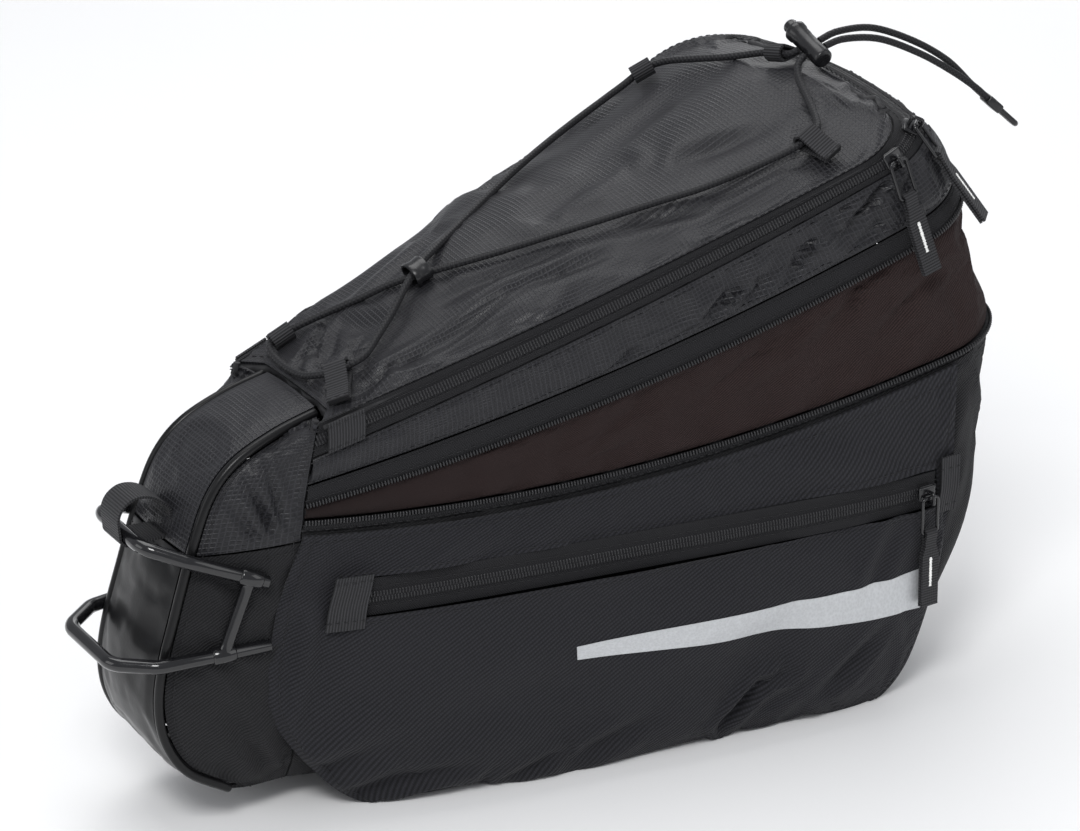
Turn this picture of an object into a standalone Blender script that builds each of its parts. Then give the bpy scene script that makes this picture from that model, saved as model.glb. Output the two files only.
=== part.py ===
"""A wedge-shaped bag that hangs behind a bicycle seat post on a bent wire frame.

Metres, z up, x to the rear. The left side is at -y. The expansion zip is open.
"""
from math import cos, pi, radians, sin, tan

import bmesh
import bpy
from mathutils import Matrix, Vector

# Main sizes of the bag
BODY_LENGTH = 0.398
BAND_WIDTH = 0.052
BAND_TAPER = 0.006
FRONT_HEIGHT = 0.183
REAR_HEIGHT = 0.298
LID_FRONT = 0.084
FLARE = radians(10)
REAR_CORNER = 0.026
REAR_BULGE = 0.005
WALL_LEAN = 0.010
BASE_LIFT = 0.005
BASE_FRONT_RISE = 0.0145
BASE_FLAT = 0.36
LID_CROWN = 0.015
POCKET_DEPTH = 0.015

# Materials' thickness and seams
CLOTH = 0.0016
CLOTH_PUFF = 0.002
LID_PADDING = 0.0024
GAP = 0.0003
SEAM = 0.0005
PIPING = 0.0042

# Zips, webbing and cord
ZIP_CHAIN = 0.0065
ZIP_RISE = 0.0014
WEBBING = 0.0011
TAB_WIDTH = 0.016
LOOP_WIDTH = 0.010
CORD = 0.0032
LOOP_PLAY = 0.0013
SLIDER = Vector((0.009, 0.0070, 0.0022))
SLIDER_LIFT = 0.0007
SLIDER_EYE = 0.0036
EYE_SHIFT = 0.0013
PULL_WIRE = 0.0016
PULL_LOOP = Vector((0.0084, 0.017))
PULL_STRAP = Vector((0.009, 0.036, 0.0022))

# Wire frame
ROD = 0.0062
BOW_CORNER = 0.010
BOW_REACH = 0.020
BOW_WIDTH = 0.040
UPPER_BOW = 0.138
LOWER_BOW = 0.088
UPPER_HEEL = 0.117
LOWER_HEEL = 0.087
FRAME_HEEL = 0.049
STRUT_TOP = 0.22
STRUT_FOOT = 0.42
STRAP_SLACK = 0.0016
STRAP_RISE = 0.017

# Reflective strips: front and rear in BODY_LENGTH, then heights
STRIP_FRONT = 0.450
STRIP_REAR = 0.885
STRIP_TOP = 0.0665
STRIP_FRONT_HEIGHT = 0.006
STRIP_REAR_HEIGHT = 0.020
STRIP_THICKNESS = 0.0004
STRIP_LIFT = 0.0012
GARAGE_WIDTH = 0.010

# Cord fittings
CLIP_LENGTH = 0.008
CLIP_BORE = (0.0115, 0.0086)
CLIP_WALL = 0.0011
LOCK_FOOT = (0.3465, -0.0155, 0.0062)
LOCK_HEAD = (0.3465, 0.0075, 0.0133)
LOCK_RADIUS = 0.0046
BUTTON_RADIUS = 0.0034
BUTTON_SEAT = 0.009
BUTTON_TRAVEL = 0.0035
BUTTON_RISE = 0.0045
END_CLAMP = 0.009
END_LENGTH = 0.021
END_WIDTH = 0.0028

# The bungee's route over the lid from the lock round to the lock, chosen by hand. Here, and for the lock and
# the tails, x and y are those of a bag of DRAWN_LENGTH and the third number is the height above the lid.
DRAWN_LENGTH = 0.398
BUNGEE_STEP = 0.0090
BUNGEE_ROUTE = (
    (0.3402, -0.0090, 0.0077), (0.3355, -0.0110, 0.0054), (0.3310, -0.0190, 0.0028),
    (0.3225, -0.0400, 0.0023), (0.3155, -0.0542, 0.0039), (0.3080, -0.0574, 0.0049),
    (0.3003, -0.0576, 0.0046), (0.2880, -0.0540, 0.0034), (0.2740, -0.0500, 0.0028),
    (0.2600, -0.0460, 0.0028), (0.2420, -0.0390, 0.0027), (0.2190, -0.0310, 0.0030),
    (0.1990, -0.0230, 0.0027), (0.1770, -0.0150, 0.0030), (0.1600, -0.0070, 0.0031),
    (0.1460, 0.0000, 0.0052), (0.1360, 0.0060, 0.0057), (0.1250, 0.0130, 0.0043),
    (0.1130, 0.0210, 0.0034), (0.1030, 0.0256, 0.0048), (0.0945, 0.0284, 0.0057),
    (0.0875, 0.0268, 0.0064), (0.0860, 0.0140, 0.0044), (0.0868, -0.0020, 0.0041),
    (0.0900, -0.0120, 0.0051), (0.0960, -0.0188, 0.0054), (0.1030, -0.0222, 0.0051),
    (0.1090, -0.0210, 0.0034), (0.1160, -0.0170, 0.0034), (0.1270, -0.0110, 0.0047),
    (0.1370, -0.0050, 0.0075), (0.1460, 0.0000, 0.0088), (0.1560, 0.0060, 0.0067),
    (0.1800, 0.0210, 0.0030), (0.2010, 0.0320, 0.0030), (0.2200, 0.0420, 0.0031),
    (0.2400, 0.0510, 0.0030), (0.2600, 0.0570, 0.0031), (0.2800, 0.0605, 0.0032),
    (0.2920, 0.0615, 0.0036), (0.3000, 0.0600, 0.0052), (0.3080, 0.0550, 0.0049),
    (0.3160, 0.0440, 0.0029), (0.3250, 0.0300, 0.0021), (0.3350, 0.0160, 0.0036),
    (0.3372, 0.0070, 0.0055), (0.3378, -0.0010, 0.0068), (0.3402, -0.0045, 0.0090),
)

# Webbing loops on the lid: the point of the route that each one holds, and where it is sewn
CORD_LOOPS = (
    ("front_left", 25, (0.0880, -0.0335)),
    ("front_right", 20, (0.0885, 0.0350)),
    ("middle_left", 5, (0.3060, -0.0720)),
    ("middle_right", 40, (0.2985, 0.0730)),
    ("rear", 45, (0.3500, 0.0068)),
)
# The points of the route where its strands cross inside the clip
CLIP_POINTS = (15, 31)

# The tails behind the lock, and the fitting on their ends
TAIL_STEP = 0.0085
TAIL_LEFT = (
    (0.3518, -0.0085, 0.0103), (0.3620, -0.0090, 0.0133), (0.3800, -0.0110, 0.0106),
    (0.4000, -0.0140, 0.0012), (0.4160, -0.0175, -0.0090), (0.4282, -0.0201, -0.0183),
    (0.4346, -0.0217, -0.0245),
)
TAIL_RIGHT = (
    (0.3518, -0.0042, 0.0116), (0.3620, -0.0040, 0.0153), (0.3800, -0.0055, 0.0141),
    (0.4000, -0.0095, 0.0056), (0.4168, -0.0135, -0.0055), (0.4291, -0.0163, -0.0183),
    (0.4355, -0.0179, -0.0246),
)
TAIL_END = (0.4350, -0.0198, -0.0247)
TAIL_OUT = (0.72, -0.18, -0.70)
TAIL_SIDE = (0.2, 0.98, 0.0)

# Sliders: how far each stands round the rear corner, or along the pocket, and how far its pull hangs out
# and to the rear for each metre down
LID_PULLS = (("lid_side", 0.18, 0.22, 0.22), ("lid_rear", 0.60, 0.74, 0.0))
POCKET_PULL = (0.950, 0.03, 0.0)
GARAGE_START = 0.975
TAB_START = 0.062

# Columns round the wall from a side seam to the middle of the rear
FLANK_STEPS = 7
CORNER_STEPS = 4
REAR_STEPS = 2
PIPING_STEPS = 20

# Front band seen from the side: share of LID_FRONT, share of FRONT_HEIGHT
BAND_PROFILE = (
    (0.37, 0.092), (0.15, 0.163), (0.035, 0.25), (0.0, 0.345), (0.03, 0.45), (0.125, 0.59),
    (0.235, 0.737), (0.345, 0.852), (0.50, 0.925), (0.74, 0.972), (1.0, 1.0),
)
BAND_SEAM = 0.72

# Rings of the lower wall: share up the wall, rear as a share of BODY_LENGTH, share of WALL_LEAN
LOWER_RINGS = (
    (0.0, 0.875, 1.0), (0.09, 0.918, 0.45), (0.26, 0.953, 0.1), (0.50, 0.980, 0.0), (0.78, 0.992, 0.0),
)
# Rings above it: z at the side seam in FRONT_HEIGHT, z at the rear in REAR_HEIGHT, sag in FRONT_HEIGHT,
# rear in BODY_LENGTH, share of WALL_LEAN
UPPER_RINGS = {
    "zip_foot": (0.738, 0.580, 0.104, 1.0, 0.0),
    "zip_head": (0.770, 0.592, 0.098, 1.0, 0.02),
    "gusset_top": (0.797, 0.814, 0.084, 0.960, 0.15),
    "band_foot": (0.846, 0.848, 0.066, 0.953, 0.2),
    "band_head": (0.907, 0.955, 0.046, 0.917, 0.2),
    "lid_edge": (0.990, 0.985, 0.036, 0.878, 0.2),
}
# The side seam's x at its foot, at the expansion zip and under the lid, in LID_FRONT
SEAM_FOOT = 0.71
SEAM_MIDDLE = 0.79
SEAM_HEAD = 0.905

# Pocket rows: z at its front and rear in FRONT_HEIGHT, front edge in LID_FRONT, share of POCKET_DEPTH
# rear edge in BODY_LENGTH
POCKET_ROWS = (
    (0.022, 0.010, 1.20, -0.72, 0.81),
    (0.000, 0.000, 1.11, 0.45, 0.84),
    (0.085, 0.100, 0.87, 0.82, 0.880),
    (0.300, 0.330, 0.58, 1.00, 0.912),
    (0.525, 0.525, 0.62, 0.66, 0.922),
    (0.620, 0.622, 0.68, 0.48, 0.925),
    (0.738, 0.900, 0.79, 0.06, 0.925),
)
POCKET_ZIP_ROWS = (4, 5)
POCKET_SAG = 0.0014
POCKET_ZIP_SPAN = (0.075, 0.972)


def clean_scene():
    for found in list(bpy.data.objects):
        bpy.data.objects.remove(found)


def material(name, color, roughness, metallic=0.0):
    made = bpy.data.materials.get(name)
    if made:
        return made
    made = bpy.data.materials.new(name)
    made.use_nodes = True
    shader = made.node_tree.nodes["Principled BSDF"]
    shader.inputs["Base Color"].default_value = (*color, 1.0)
    shader.inputs["Roughness"].default_value = roughness
    shader.inputs["Metallic"].default_value = metallic
    made.diffuse_color = (*color, 1.0)
    return made


def lerp(a, b, t):
    return a + (b - a) * t


def share_along(rows, t):
    """A smooth curve through a table's rows, read at t from 0 to 1."""
    spot = min(max(t, 0.0), 1.0) * (len(rows) - 1)
    i = min(int(spot), len(rows) - 2)
    f = spot - i
    p0, p1, p2, p3 = (rows[min(max(i + k, 0), len(rows) - 1)] for k in (-1, 0, 1, 2))
    return tuple(
        0.5 * (2 * b + (c - a) * f + (2 * a - 5 * b + 4 * c - d) * f * f + (3 * b - a - 3 * c + d) * f ** 3)
        for a, b, c, d in zip(p0, p1, p2, p3)
    )


def add_object(name, mesh, look, smooth_angle=40):
    mesh.shade_smooth()
    mesh.set_sharp_from_angle(angle=radians(smooth_angle))
    made = bpy.data.objects.new(name, mesh)
    made.data.materials.append(look)
    made.parent = BAG
    bpy.context.collection.objects.link(made)
    return made


def mesh_from(name, points, faces):
    """A mesh of these faces, with every face turned to point out."""
    mesh = bpy.data.meshes.new(name)
    mesh.from_pydata([tuple(p) for p in points], [], faces)
    shape = bmesh.new()
    shape.from_mesh(mesh)
    bmesh.ops.recalc_face_normals(shape, faces=shape.faces)
    if shape.calc_volume(signed=True) < 0:
        bmesh.ops.reverse_faces(shape, faces=shape.faces)
    shape.to_mesh(mesh)
    shape.free()
    return mesh


def cloth(name, outer, normals, wall, look, holes=()):
    """A sheet with its outside on a grid of points and its inside a wall below them."""
    rows, columns = len(outer), len(outer[0])
    points = [p for row in outer for p in row]
    points += [p - n * wall for row, turn in zip(outer, normals) for p, n in zip(row, turn)]
    under = rows * columns
    faces = []
    edges = {}
    for i in range(rows - 1):
        for j in range(columns - 1):
            if (i, j) in holes:
                continue
            a, b = i * columns + j, i * columns + j + 1
            c, d = b + columns, a + columns
            faces.append((a, b, c, d))
            faces.append((a + under, d + under, c + under, b + under))
            for start, end in ((a, b), (b, c), (c, d), (d, a)):
                if (end, start) in edges:
                    del edges[(end, start)]
                else:
                    edges[(start, end)] = True
    faces += [(b, a, a + under, b + under) for a, b in edges]
    used = sorted({k for face in faces for k in face})
    place = {k: n for n, k in enumerate(used)}
    faces = [tuple(place[k] for k in face) for face in faces]
    return add_object(name, mesh_from(name, [points[k] for k in used], faces), look)


def set_pivot(piece, pivot):
    """Put a piece's origin on its joint's axis, with its shape left where it is."""
    piece.data.transform(Matrix.Translation(-pivot))
    piece.location = pivot


def grid_normals(grid, outward):
    """Normals of a grid, each on the side of its outward hint."""
    rows, columns = len(grid), len(grid[0])
    turned = []
    for i in range(rows):
        line = []
        for j in range(columns):
            along = grid[i][min(j + 1, columns - 1)] - grid[i][max(j - 1, 0)]
            across = grid[min(i + 1, rows - 1)][j] - grid[max(i - 1, 0)][j]
            normal = along.cross(across).normalized()
            if normal.dot(outward(grid[i][j])) < 0:
                normal.negate()
            line.append(normal)
        turned.append(line)
    return turned


def tube_mesh(name, route, radius, sides=8, closed=False):
    """A round rod along a route, with flat ends."""
    count = len(route)
    points, faces = [], []
    up = Vector((0, 0, 1))
    for i, spot in enumerate(route):
        before = route[(i - 1) % count] if closed or i else route[i]
        after = route[(i + 1) % count] if closed or i < count - 1 else route[i]
        run = (after - before).normalized()
        if abs(run.dot(up)) > 0.9:
            up = Vector((0, 1, 0)) if abs(run.y) < 0.9 else Vector((1, 0, 0))
        side = run.cross(up).normalized()
        up = side.cross(run).normalized()
        for k in range(sides):
            turn = 2 * pi * k / sides
            points.append(spot + (side * cos(turn) + up * sin(turn)) * radius)
    for i in range(count if closed else count - 1):
        for k in range(sides):
            n = (k + 1) % sides
            j = (i + 1) % count
            faces.append((i * sides + k, i * sides + n, j * sides + n, j * sides + k))
    if not closed:
        faces.append(tuple(reversed(range(sides))))
        faces.append(tuple((count - 1) * sides + k for k in range(sides)))
    return mesh_from(name, points, faces)


def rounded_route(corners, radius, steps=4, closed=False):
    """Straight runs between corners, each corner turned on an arc of this radius."""
    count = len(corners)
    route = []
    for i, corner in enumerate(corners):
        if not closed and i in (0, count - 1):
            route.append(corner.copy())
            continue
        a = (corners[i - 1] - corner).normalized()
        b = (corners[(i + 1) % count] - corner).normalized()
        half = a.angle(b) / 2
        centre = corner + (a + b).normalized() * radius / sin(half)
        start = corner + a * radius / tan(half)
        end = corner + b * radius / tan(half)
        for k in range(steps + 1):
            arm = (start - centre).lerp(end - centre, k / steps).normalized()
            route.append(centre + arm * radius)
    return route


def box_mesh(name, low, high, bevel=0.0, frame=None):
    """A box between two corners, with bevelled edges, in a placed frame."""
    shape = bmesh.new()
    bmesh.ops.create_cube(shape, size=1.0)
    for v in shape.verts:
        v.co = Vector(lerp(a, b, c + 0.5) for a, b, c in zip(low, high, v.co))
    if bevel:
        bmesh.ops.bevel(shape, geom=shape.edges[:], offset=bevel, segments=1, affect="EDGES")
    if frame:
        shape.transform(frame)
    mesh = bpy.data.meshes.new(name)
    shape.to_mesh(mesh)
    shape.free()
    return mesh


def join(body, guides):
    """Weld hidden guide shapes to a body."""
    for k, guide in enumerate(guides):
        guide.hide_render = True
        guide.display_type = "WIRE"
        weld = body.modifiers.new(f"weld_{k}", "BOOLEAN")
        weld.operation = "UNION"
        weld.object = guide
    return body


def axes(x, y, origin):
    """A frame with its x axis along x, its y axis near y and its z axis square to both."""
    x = x.normalized()
    z = x.cross(y).normalized()
    y = z.cross(x)
    turn = Matrix((x, y, z)).transposed().to_4x4()
    return Matrix.Translation(origin) @ turn


def flank(x):
    """Half the bag's width at x, on its widest level."""
    return BAND_WIDTH / 2 + x * tan(FLARE)


def run_back(x):
    seam = LID_FRONT * SEAM_MIDDLE
    return (x - seam) / (BODY_LENGTH - seam)


def base_height(x):
    """The base is flat at the rear and rises to the front."""
    return BASE_LIFT + BASE_FRONT_RISE * max(0.0, 1 - x / (BODY_LENGTH * BASE_FLAT))


def line_height(name, x):
    """The height of a level line over x."""
    seam, rear, sag = UPPER_RINGS[name][:3]
    s = run_back(x)
    return lerp(seam * FRONT_HEIGHT, rear * REAR_HEIGHT, s) - sag * FRONT_HEIGHT * 4 * s * (1 - s)


def side_seam_x(z):
    """Where the vertical side seam runs at this height."""
    share = z / FRONT_HEIGHT
    middle, head = UPPER_RINGS["zip_foot"][0], UPPER_RINGS["lid_edge"][0]
    if share < middle:
        return LID_FRONT * lerp(SEAM_FOOT, SEAM_MIDDLE, share / middle)
    return LID_FRONT * lerp(SEAM_MIDDLE, SEAM_HEAD, (share - middle) / (head - middle))


def ring_plan(seam_x, rear_x, lean):
    """The right half of a ring from above: its side seam, flank, corner and rear, each with its normal."""
    start = rear_x - REAR_CORNER * (1 + sin(FLARE))
    turn = Vector((-sin(FLARE), cos(FLARE)))
    plan = []
    for k in range(FLANK_STEPS):
        x = lerp(seam_x, start, k / FLANK_STEPS)
        plan.append((x, flank(x) - lean * WALL_LEAN, turn))
    centre = Vector((start, flank(start) - lean * WALL_LEAN)) - turn * REAR_CORNER
    first = pi / 2 + FLARE
    for k in range(CORNER_STEPS):
        angle = first * (1 - k / CORNER_STEPS)
        arm = Vector((cos(angle), sin(angle)))
        spot = centre + arm * REAR_CORNER
        plan.append((spot.x, spot.y, arm))
    for k in range(REAR_STEPS + 1):
        y = centre.y * (1 - k / REAR_STEPS)
        bulge = REAR_BULGE * (1 - (y / centre.y) ** 2)
        arm = Vector((1, 2 * REAR_BULGE * y / centre.y ** 2)).normalized()
        plan.append((centre.x + REAR_CORNER + bulge, y, arm))
    return plan


def ring(height, seam_x, rear_x, lean, tilt):
    """A whole ring from the left side seam round the rear to the right one, as points and normals."""
    half = [
        (Vector((x, y, height(x))), Vector((arm.x, arm.y, tilt)).normalized())
        for x, y, arm in ring_plan(seam_x, rear_x, lean)
    ]
    flip = Vector((1, -1, 1))
    left = [(p * flip, n * flip) for p, n in half[:-1]]
    return left + half[::-1]


def wall_ring(share, rear, lean):
    def height(x):
        return lerp(base_height(x), line_height("zip_foot", x), share)

    seam_x = side_seam_x(lerp(base_height(0), UPPER_RINGS["zip_foot"][0] * FRONT_HEIGHT, share))
    tilt = -1.0 if share == 0 else 0.0
    return ring(height, seam_x, rear * BODY_LENGTH, lean, tilt)


def upper_ring(name):
    level, rear, lean = (UPPER_RINGS[name][k] for k in (0, 3, 4))
    tilt = {"lid_edge": 1.0, "zip_foot": 0.1, "zip_head": 0.25}.get(name, 0.3)
    seam_x = side_seam_x(level * FRONT_HEIGHT)
    return ring(lambda x: line_height(name, x), seam_x, rear * BODY_LENGTH, lean, tilt)


def strip(low, high, shares, puffs, trims=(SEAM, SEAM), ends=0.0):
    """Rows of points between two rings, raised along their normals, and kept off both edges."""
    outer, normals = [], []
    for share, puff in zip(shares, puffs):
        row, turn = [], []
        for j, ((a, n), (b, m)) in enumerate(zip(low, high)):
            gap = (b - a).length
            t = lerp(min(trims[0] / gap, 0.3), 1 - min(trims[1] / gap, 0.3), share)
            normal = n.lerp(m, share).normalized()
            end = min(j, len(low) - 1 - j) == 0
            shift = Vector((SEAM, 0, 0)) if end else Vector()
            row.append(a.lerp(b, t) + normal * puff + shift)
            turn.append(normal)
        outer.append(row)
        normals.append(turn)
    return outer, normals


def band_point(t, inset=0.0):
    """A point on the front band's side profile, t from its foot to the lid, moved in by inset."""
    a = Vector(share_along(BAND_PROFILE, t - 0.01))
    b = Vector(share_along(BAND_PROFILE, t + 0.01))
    here = Vector(share_along(BAND_PROFILE, t))
    scale = Vector((LID_FRONT, FRONT_HEIGHT))
    run = ((b - a) * scale).normalized()
    spot = here * scale + Vector((run.y, -run.x)) * inset
    return Vector((spot.x, 0, spot.y)), Vector((-run.y, 0, run.x))


def band_share_at(z):
    """How far along the band's profile this height lies."""
    low, high = 0.0, 1.0
    for _ in range(30):
        middle = (low + high) / 2
        if band_point(middle)[0].z < z:
            low = middle
        else:
            high = middle
    return low


def band_half(t):
    """Half the front band's width, which narrows from its foot to the lid."""
    return BAND_WIDTH / 2 + lerp(BAND_TAPER / 2, -BAND_TAPER / 2, t)


def band(name, start, end, look, rows):
    """A stretch of the front band between its two pipings."""
    outer, normals = [], []
    for i in range(rows + 1):
        t = lerp(start, end, i / rows)
        spot, turn = band_point(t)
        half = band_half(t) - PIPING / 2 - GAP
        outer.append([spot + Vector((0, lerp(-half, half, j / 4), 0)) for j in range(5)])
        normals.append([turn] * 5)
    return cloth(name, outer, normals, CLOTH, look)


def side_seam():
    """The right side seam's points, one on each ring, from the foot up."""
    rings = [wall_ring(*row) for row in LOWER_RINGS] + [upper_ring(name) for name in UPPER_RINGS]
    return [line[-1][0] for line in rings]


def point_at_height(line, z):
    for a, b in zip(line, line[1:]):
        if z < b.z:
            break
    return a.lerp(b, (z - a.z) / (b.z - a.z))


def side_foot():
    """The side panel's lower front corner, where the line inside the piping runs down to the base."""
    spot, turn = band_point(0.0, PIPING)
    down = Vector((-turn.z, 0, turn.x))
    slope = BASE_FRONT_RISE / (BODY_LENGTH * BASE_FLAT)
    back = (spot.z - base_height(spot.x)) / (-down.z - slope * down.x)
    return spot + down * back + Vector((0, band_half(0.0), 0))


def side_front(name, side, low, high, look, rows):
    """The panel between the piping and the side seam, between two shares of the band's profile."""
    seam = side_seam()
    foot, head = band_point(0.0)[0].z, band_point(1.0)[0].z
    outer = []
    for i in range(rows + 1):
        t = lerp(low, high, i / rows)
        front = band_point(t, PIPING)[0]
        front.y = band_half(t) + CLOTH / 3
        if t == 0.0:
            front = side_foot() + Vector((0, 0, SEAM))
        up = (band_point(t)[0].z - foot) / (head - foot)
        rear = point_at_height(seam, lerp(seam[0].z + SEAM, seam[-1].z - SEAM, up)) - Vector((SEAM, 0, 0))
        outer.append([front.lerp(rear, k / 4) * Vector((1, side, 1)) for k in range(5)])
    normals = grid_normals(outer, lambda p: Vector((0, side, 0.6)))
    for row in normals:
        row[-1] = (row[-1] * Vector((0, 1, 1))).normalized()
    if low == 0.0:
        normals[0] = [Vector((0, side, -1)).normalized()] * 5
    return cloth(name, outer, normals, CLOTH, look)


def lid_surface(u, c):
    """The lid's outside: u from its front seam to its rear edge, c from its left edge to its right."""
    edge = upper_ring("lid_edge")
    count = FLANK_STEPS + CORNER_STEPS
    spot = u * count
    i = min(int(spot), count - 1)
    left = edge[i][0].lerp(edge[i + 1][0], spot - i)
    if i == 0:
        left = Vector((LID_FRONT + 0.0015, 0, FRONT_HEIGHT)).lerp(edge[1][0], spot)
        left.y = lerp(edge[0][0].y, edge[1][0].y, spot)
        corner = edge[0][0].x - LID_FRONT
        left.x += corner * (1 - spot) * max(0.0, (abs(c) - 0.75) / 0.25)
    half = -left.y - SEAM
    crown = LID_CROWN * (1 - abs(c) ** 2.6) * min(1.0, 0.1 + 4.0 * u) * (1 - 0.8 * u ** 3)
    rear = REAR_BULGE * (1 - c * c) * u ** 8
    return Vector((left.x + rear - SEAM * u, half * c, left.z + crown + SEAM * 0.3))


def lid_height(x, y):
    """The height of the lid's outside over this point."""
    low, high = 0.0, 1.0
    for _ in range(24):
        u = (low + high) / 2
        c = min(max(y / lid_surface(u, 1.0).y, -1.0), 1.0)
        spot = lid_surface(u, c)
        if spot.x < x:
            low = u
        else:
            high = u
    return spot.z


def over_lid(x, y, lift):
    """A point this far above the lid, for an x and y of the drawn bag."""
    x *= BODY_LENGTH / DRAWN_LENGTH
    return Vector((x, y, lid_height(x, y) + lift))


def make_wall_and_base(looks):
    """The lower wall round both flanks and the rear, and the base under it."""
    rings = [wall_ring(*row) for row in LOWER_RINGS]
    rings.append(upper_ring("zip_foot"))
    outer, normals = [], []
    for i, line in enumerate(rings):
        shift = [Vector()] * len(line)
        if i == 0:
            shift = [(b[0] - a[0]).normalized() * SEAM for a, b in zip(line, rings[1])]
        if i == len(rings) - 1:
            shift = [(b[0] - a[0]).normalized() * SEAM for a, b in zip(line, rings[-2])]
        row = [p + s for (p, n), s in zip(line, shift)]
        row[0] += Vector((SEAM, 0, 0))
        row[-1] += Vector((SEAM, 0, 0))
        outer.append(row)
        normals.append([n for p, n in line])
    cloth("body_wall", outer, normals, CLOTH, looks["plain"])

    flat = Vector((0, 0, -1))
    nose = Vector((band_point(0.0, CLOTH)[0].x + SEAM, -band_half(0.0) + PIPING / 2 + SEAM, 0))
    nose.z = base_height(nose.x)
    corner = side_foot() * Vector((1, -1, 1))
    edges = [(nose, flat), (corner + Vector((0, SEAM, 0)), Vector((0, -1, -1)).normalized())]
    for p, n in rings[0][:len(rings[0]) // 2 - REAR_STEPS + 1]:
        edges.append((p - Vector((n.x, n.y, 0)).normalized() * SEAM, n))
    outer, normals = [], []
    for edge, turn in edges:
        last = edge is edges[-1][0]
        rear = REAR_BULGE if last else 0.0
        shares = (-1, -0.5, 0, 0.5, 1)
        outer.append([Vector((edge.x + rear * (1 - c * c), -edge.y * c, edge.z)) for c in shares])
        if last:
            turn = Vector((1, 0, -1)).normalized()
        normals.append([turn] + [turn if last else flat] * 3 + [turn * Vector((1, -1, 1))])
    cloth("base_panel", outer, normals, CLOTH, looks["plain"])


def make_front(looks):
    """The front band with its two pipings, and the panels between them and the side seams."""
    seam = band_share_at(BAND_SEAM * FRONT_HEIGHT)
    trim = seam * SEAM / (BAND_SEAM * FRONT_HEIGHT)
    band("front_band_lower", 0.0, seam - trim, looks["satin"], 11)
    band("front_band_upper", seam + trim, 0.994, looks["ripstop"], 7)
    for word, side in (("left", -1), ("right", 1)):
        route = []
        for k in range(PIPING_STEPS + 1):
            t = lerp(0.0, 0.985, k / PIPING_STEPS)
            spot = band_point(t, PIPING * 0.36)[0]
            route.append(spot + Vector((0, side * band_half(t), 0)))
        add_object(f"piping_{word}", tube_mesh("piping", route, PIPING / 2, 6), looks["satin"])
        side_front(f"side_front_lower_{word}", side, 0.0, seam - trim, looks["plain"], 9)
        side_front(f"side_front_upper_{word}", side, seam + trim, 0.985, looks["ripstop"], 6)


def make_upper_cloth(looks):
    """The gusset, the band above it and the lid."""
    zip_head, gusset_top = upper_ring("zip_head"), upper_ring("gusset_top")
    band_foot, band_head = upper_ring("band_foot"), upper_ring("band_head")
    shares = (0.0, 0.5, 1.0)
    outer, normals = strip(zip_head, gusset_top, shares, (0.0, CLOTH_PUFF, 0.0))
    cloth("gusset", outer, normals, CLOTH, looks["gusset"])
    outer, normals = strip(band_foot, band_head, shares, (0.0, CLOTH_PUFF, 0.0))
    cloth("upper_band", outer, normals, CLOTH, looks["ripstop"])
    rows = [0.0, 0.04, 0.10]
    rows += [lerp(0.18, 1.0, k / 10) for k in range(11)]
    across = 10
    outer = [[lid_surface(u, sin(pi / 2 * lerp(-1, 1, k / across))) for k in range(across + 1)] for u in rows]
    normals = grid_normals(outer, lambda p: Vector((0, 0, 1)))
    for i, row in enumerate(normals):
        for k in (0, across):
            row[k] = Vector((0, -1 if k == 0 else 1, 1)).normalized()
        if i == len(normals) - 1:
            normals[i] = [Vector((1, 0, 1)).normalized() for _ in row]
            normals[i][0] = Vector((0.7, -0.7, 1)).normalized()
            normals[i][-1] = Vector((0.7, 0.7, 1)).normalized()
    cloth("lid", outer, normals, LID_PADDING, looks["ripstop"])


def make_zips(looks):
    """The lid zip with its closed chain, and the two open halves of the expansion zip."""
    low, high = upper_ring("band_head"), upper_ring("lid_edge")
    width = (high[FLANK_STEPS][0] - low[FLANK_STEPS][0]).length
    edge = ZIP_CHAIN / 2 / width
    shares = (0.0, 0.5 - edge * 1.2, 0.5 - edge, 0.5 + edge, 0.5 + edge * 1.2, 1.0)
    puffs = (0.0, 0.0, ZIP_RISE, ZIP_RISE, 0.0, 0.0)
    cloth("lid_zip", *strip(low, high, shares, puffs), CLOTH, looks["zip"])
    low, high = upper_ring("zip_foot"), upper_ring("zip_head")
    cloth("expansion_zip_lower", *strip(low, high, (0.0, 0.5, 1.0), (0.0, ZIP_RISE, ZIP_RISE)),
          CLOTH, looks["zip"])
    low, high = upper_ring("gusset_top"), upper_ring("band_foot")
    cloth("expansion_zip_upper", *strip(low, high, (0.0, 0.4, 1.0), (ZIP_RISE, ZIP_RISE, 0.0)),
          CLOTH, looks["zip"])


def pocket_row(t, s):
    """A point of the right pocket: t from its tucked foot to its top, s from its front edge to its rear."""
    front_z, rear_z, front_x, depth, rear_x = share_along(POCKET_ROWS, t)
    x = lerp(front_x * LID_FRONT, rear_x * BODY_LENGTH, s)
    z = max(0.0, lerp(front_z, rear_z, s) * FRONT_HEIGHT - POCKET_SAG)
    top = (len(POCKET_ROWS) - 2) / (len(POCKET_ROWS) - 1)
    if t > top:
        head = line_height("zip_foot", x) - 2 * SEAM
        below = share_along(POCKET_ROWS, top)
        z = lerp(lerp(below[0], below[1], s) * FRONT_HEIGHT - POCKET_SAG, head, (t - top) / (1 - top))
    swell = max(0.0, 1 - abs(2 * s - 1) ** 4) if depth > 0 else 1.0
    return Vector((x, flank(x) + CLOTH + 2 * GAP + depth * swell * POCKET_DEPTH, z))


def pocket_columns(count):
    """How far along the pocket its columns stand, with the zip's ends on the second and the last but one."""
    start, end = POCKET_ZIP_SPAN
    return [0.0] + [lerp(start, end, k / (count - 2)) for k in range(count - 1)] + [1.0]


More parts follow.
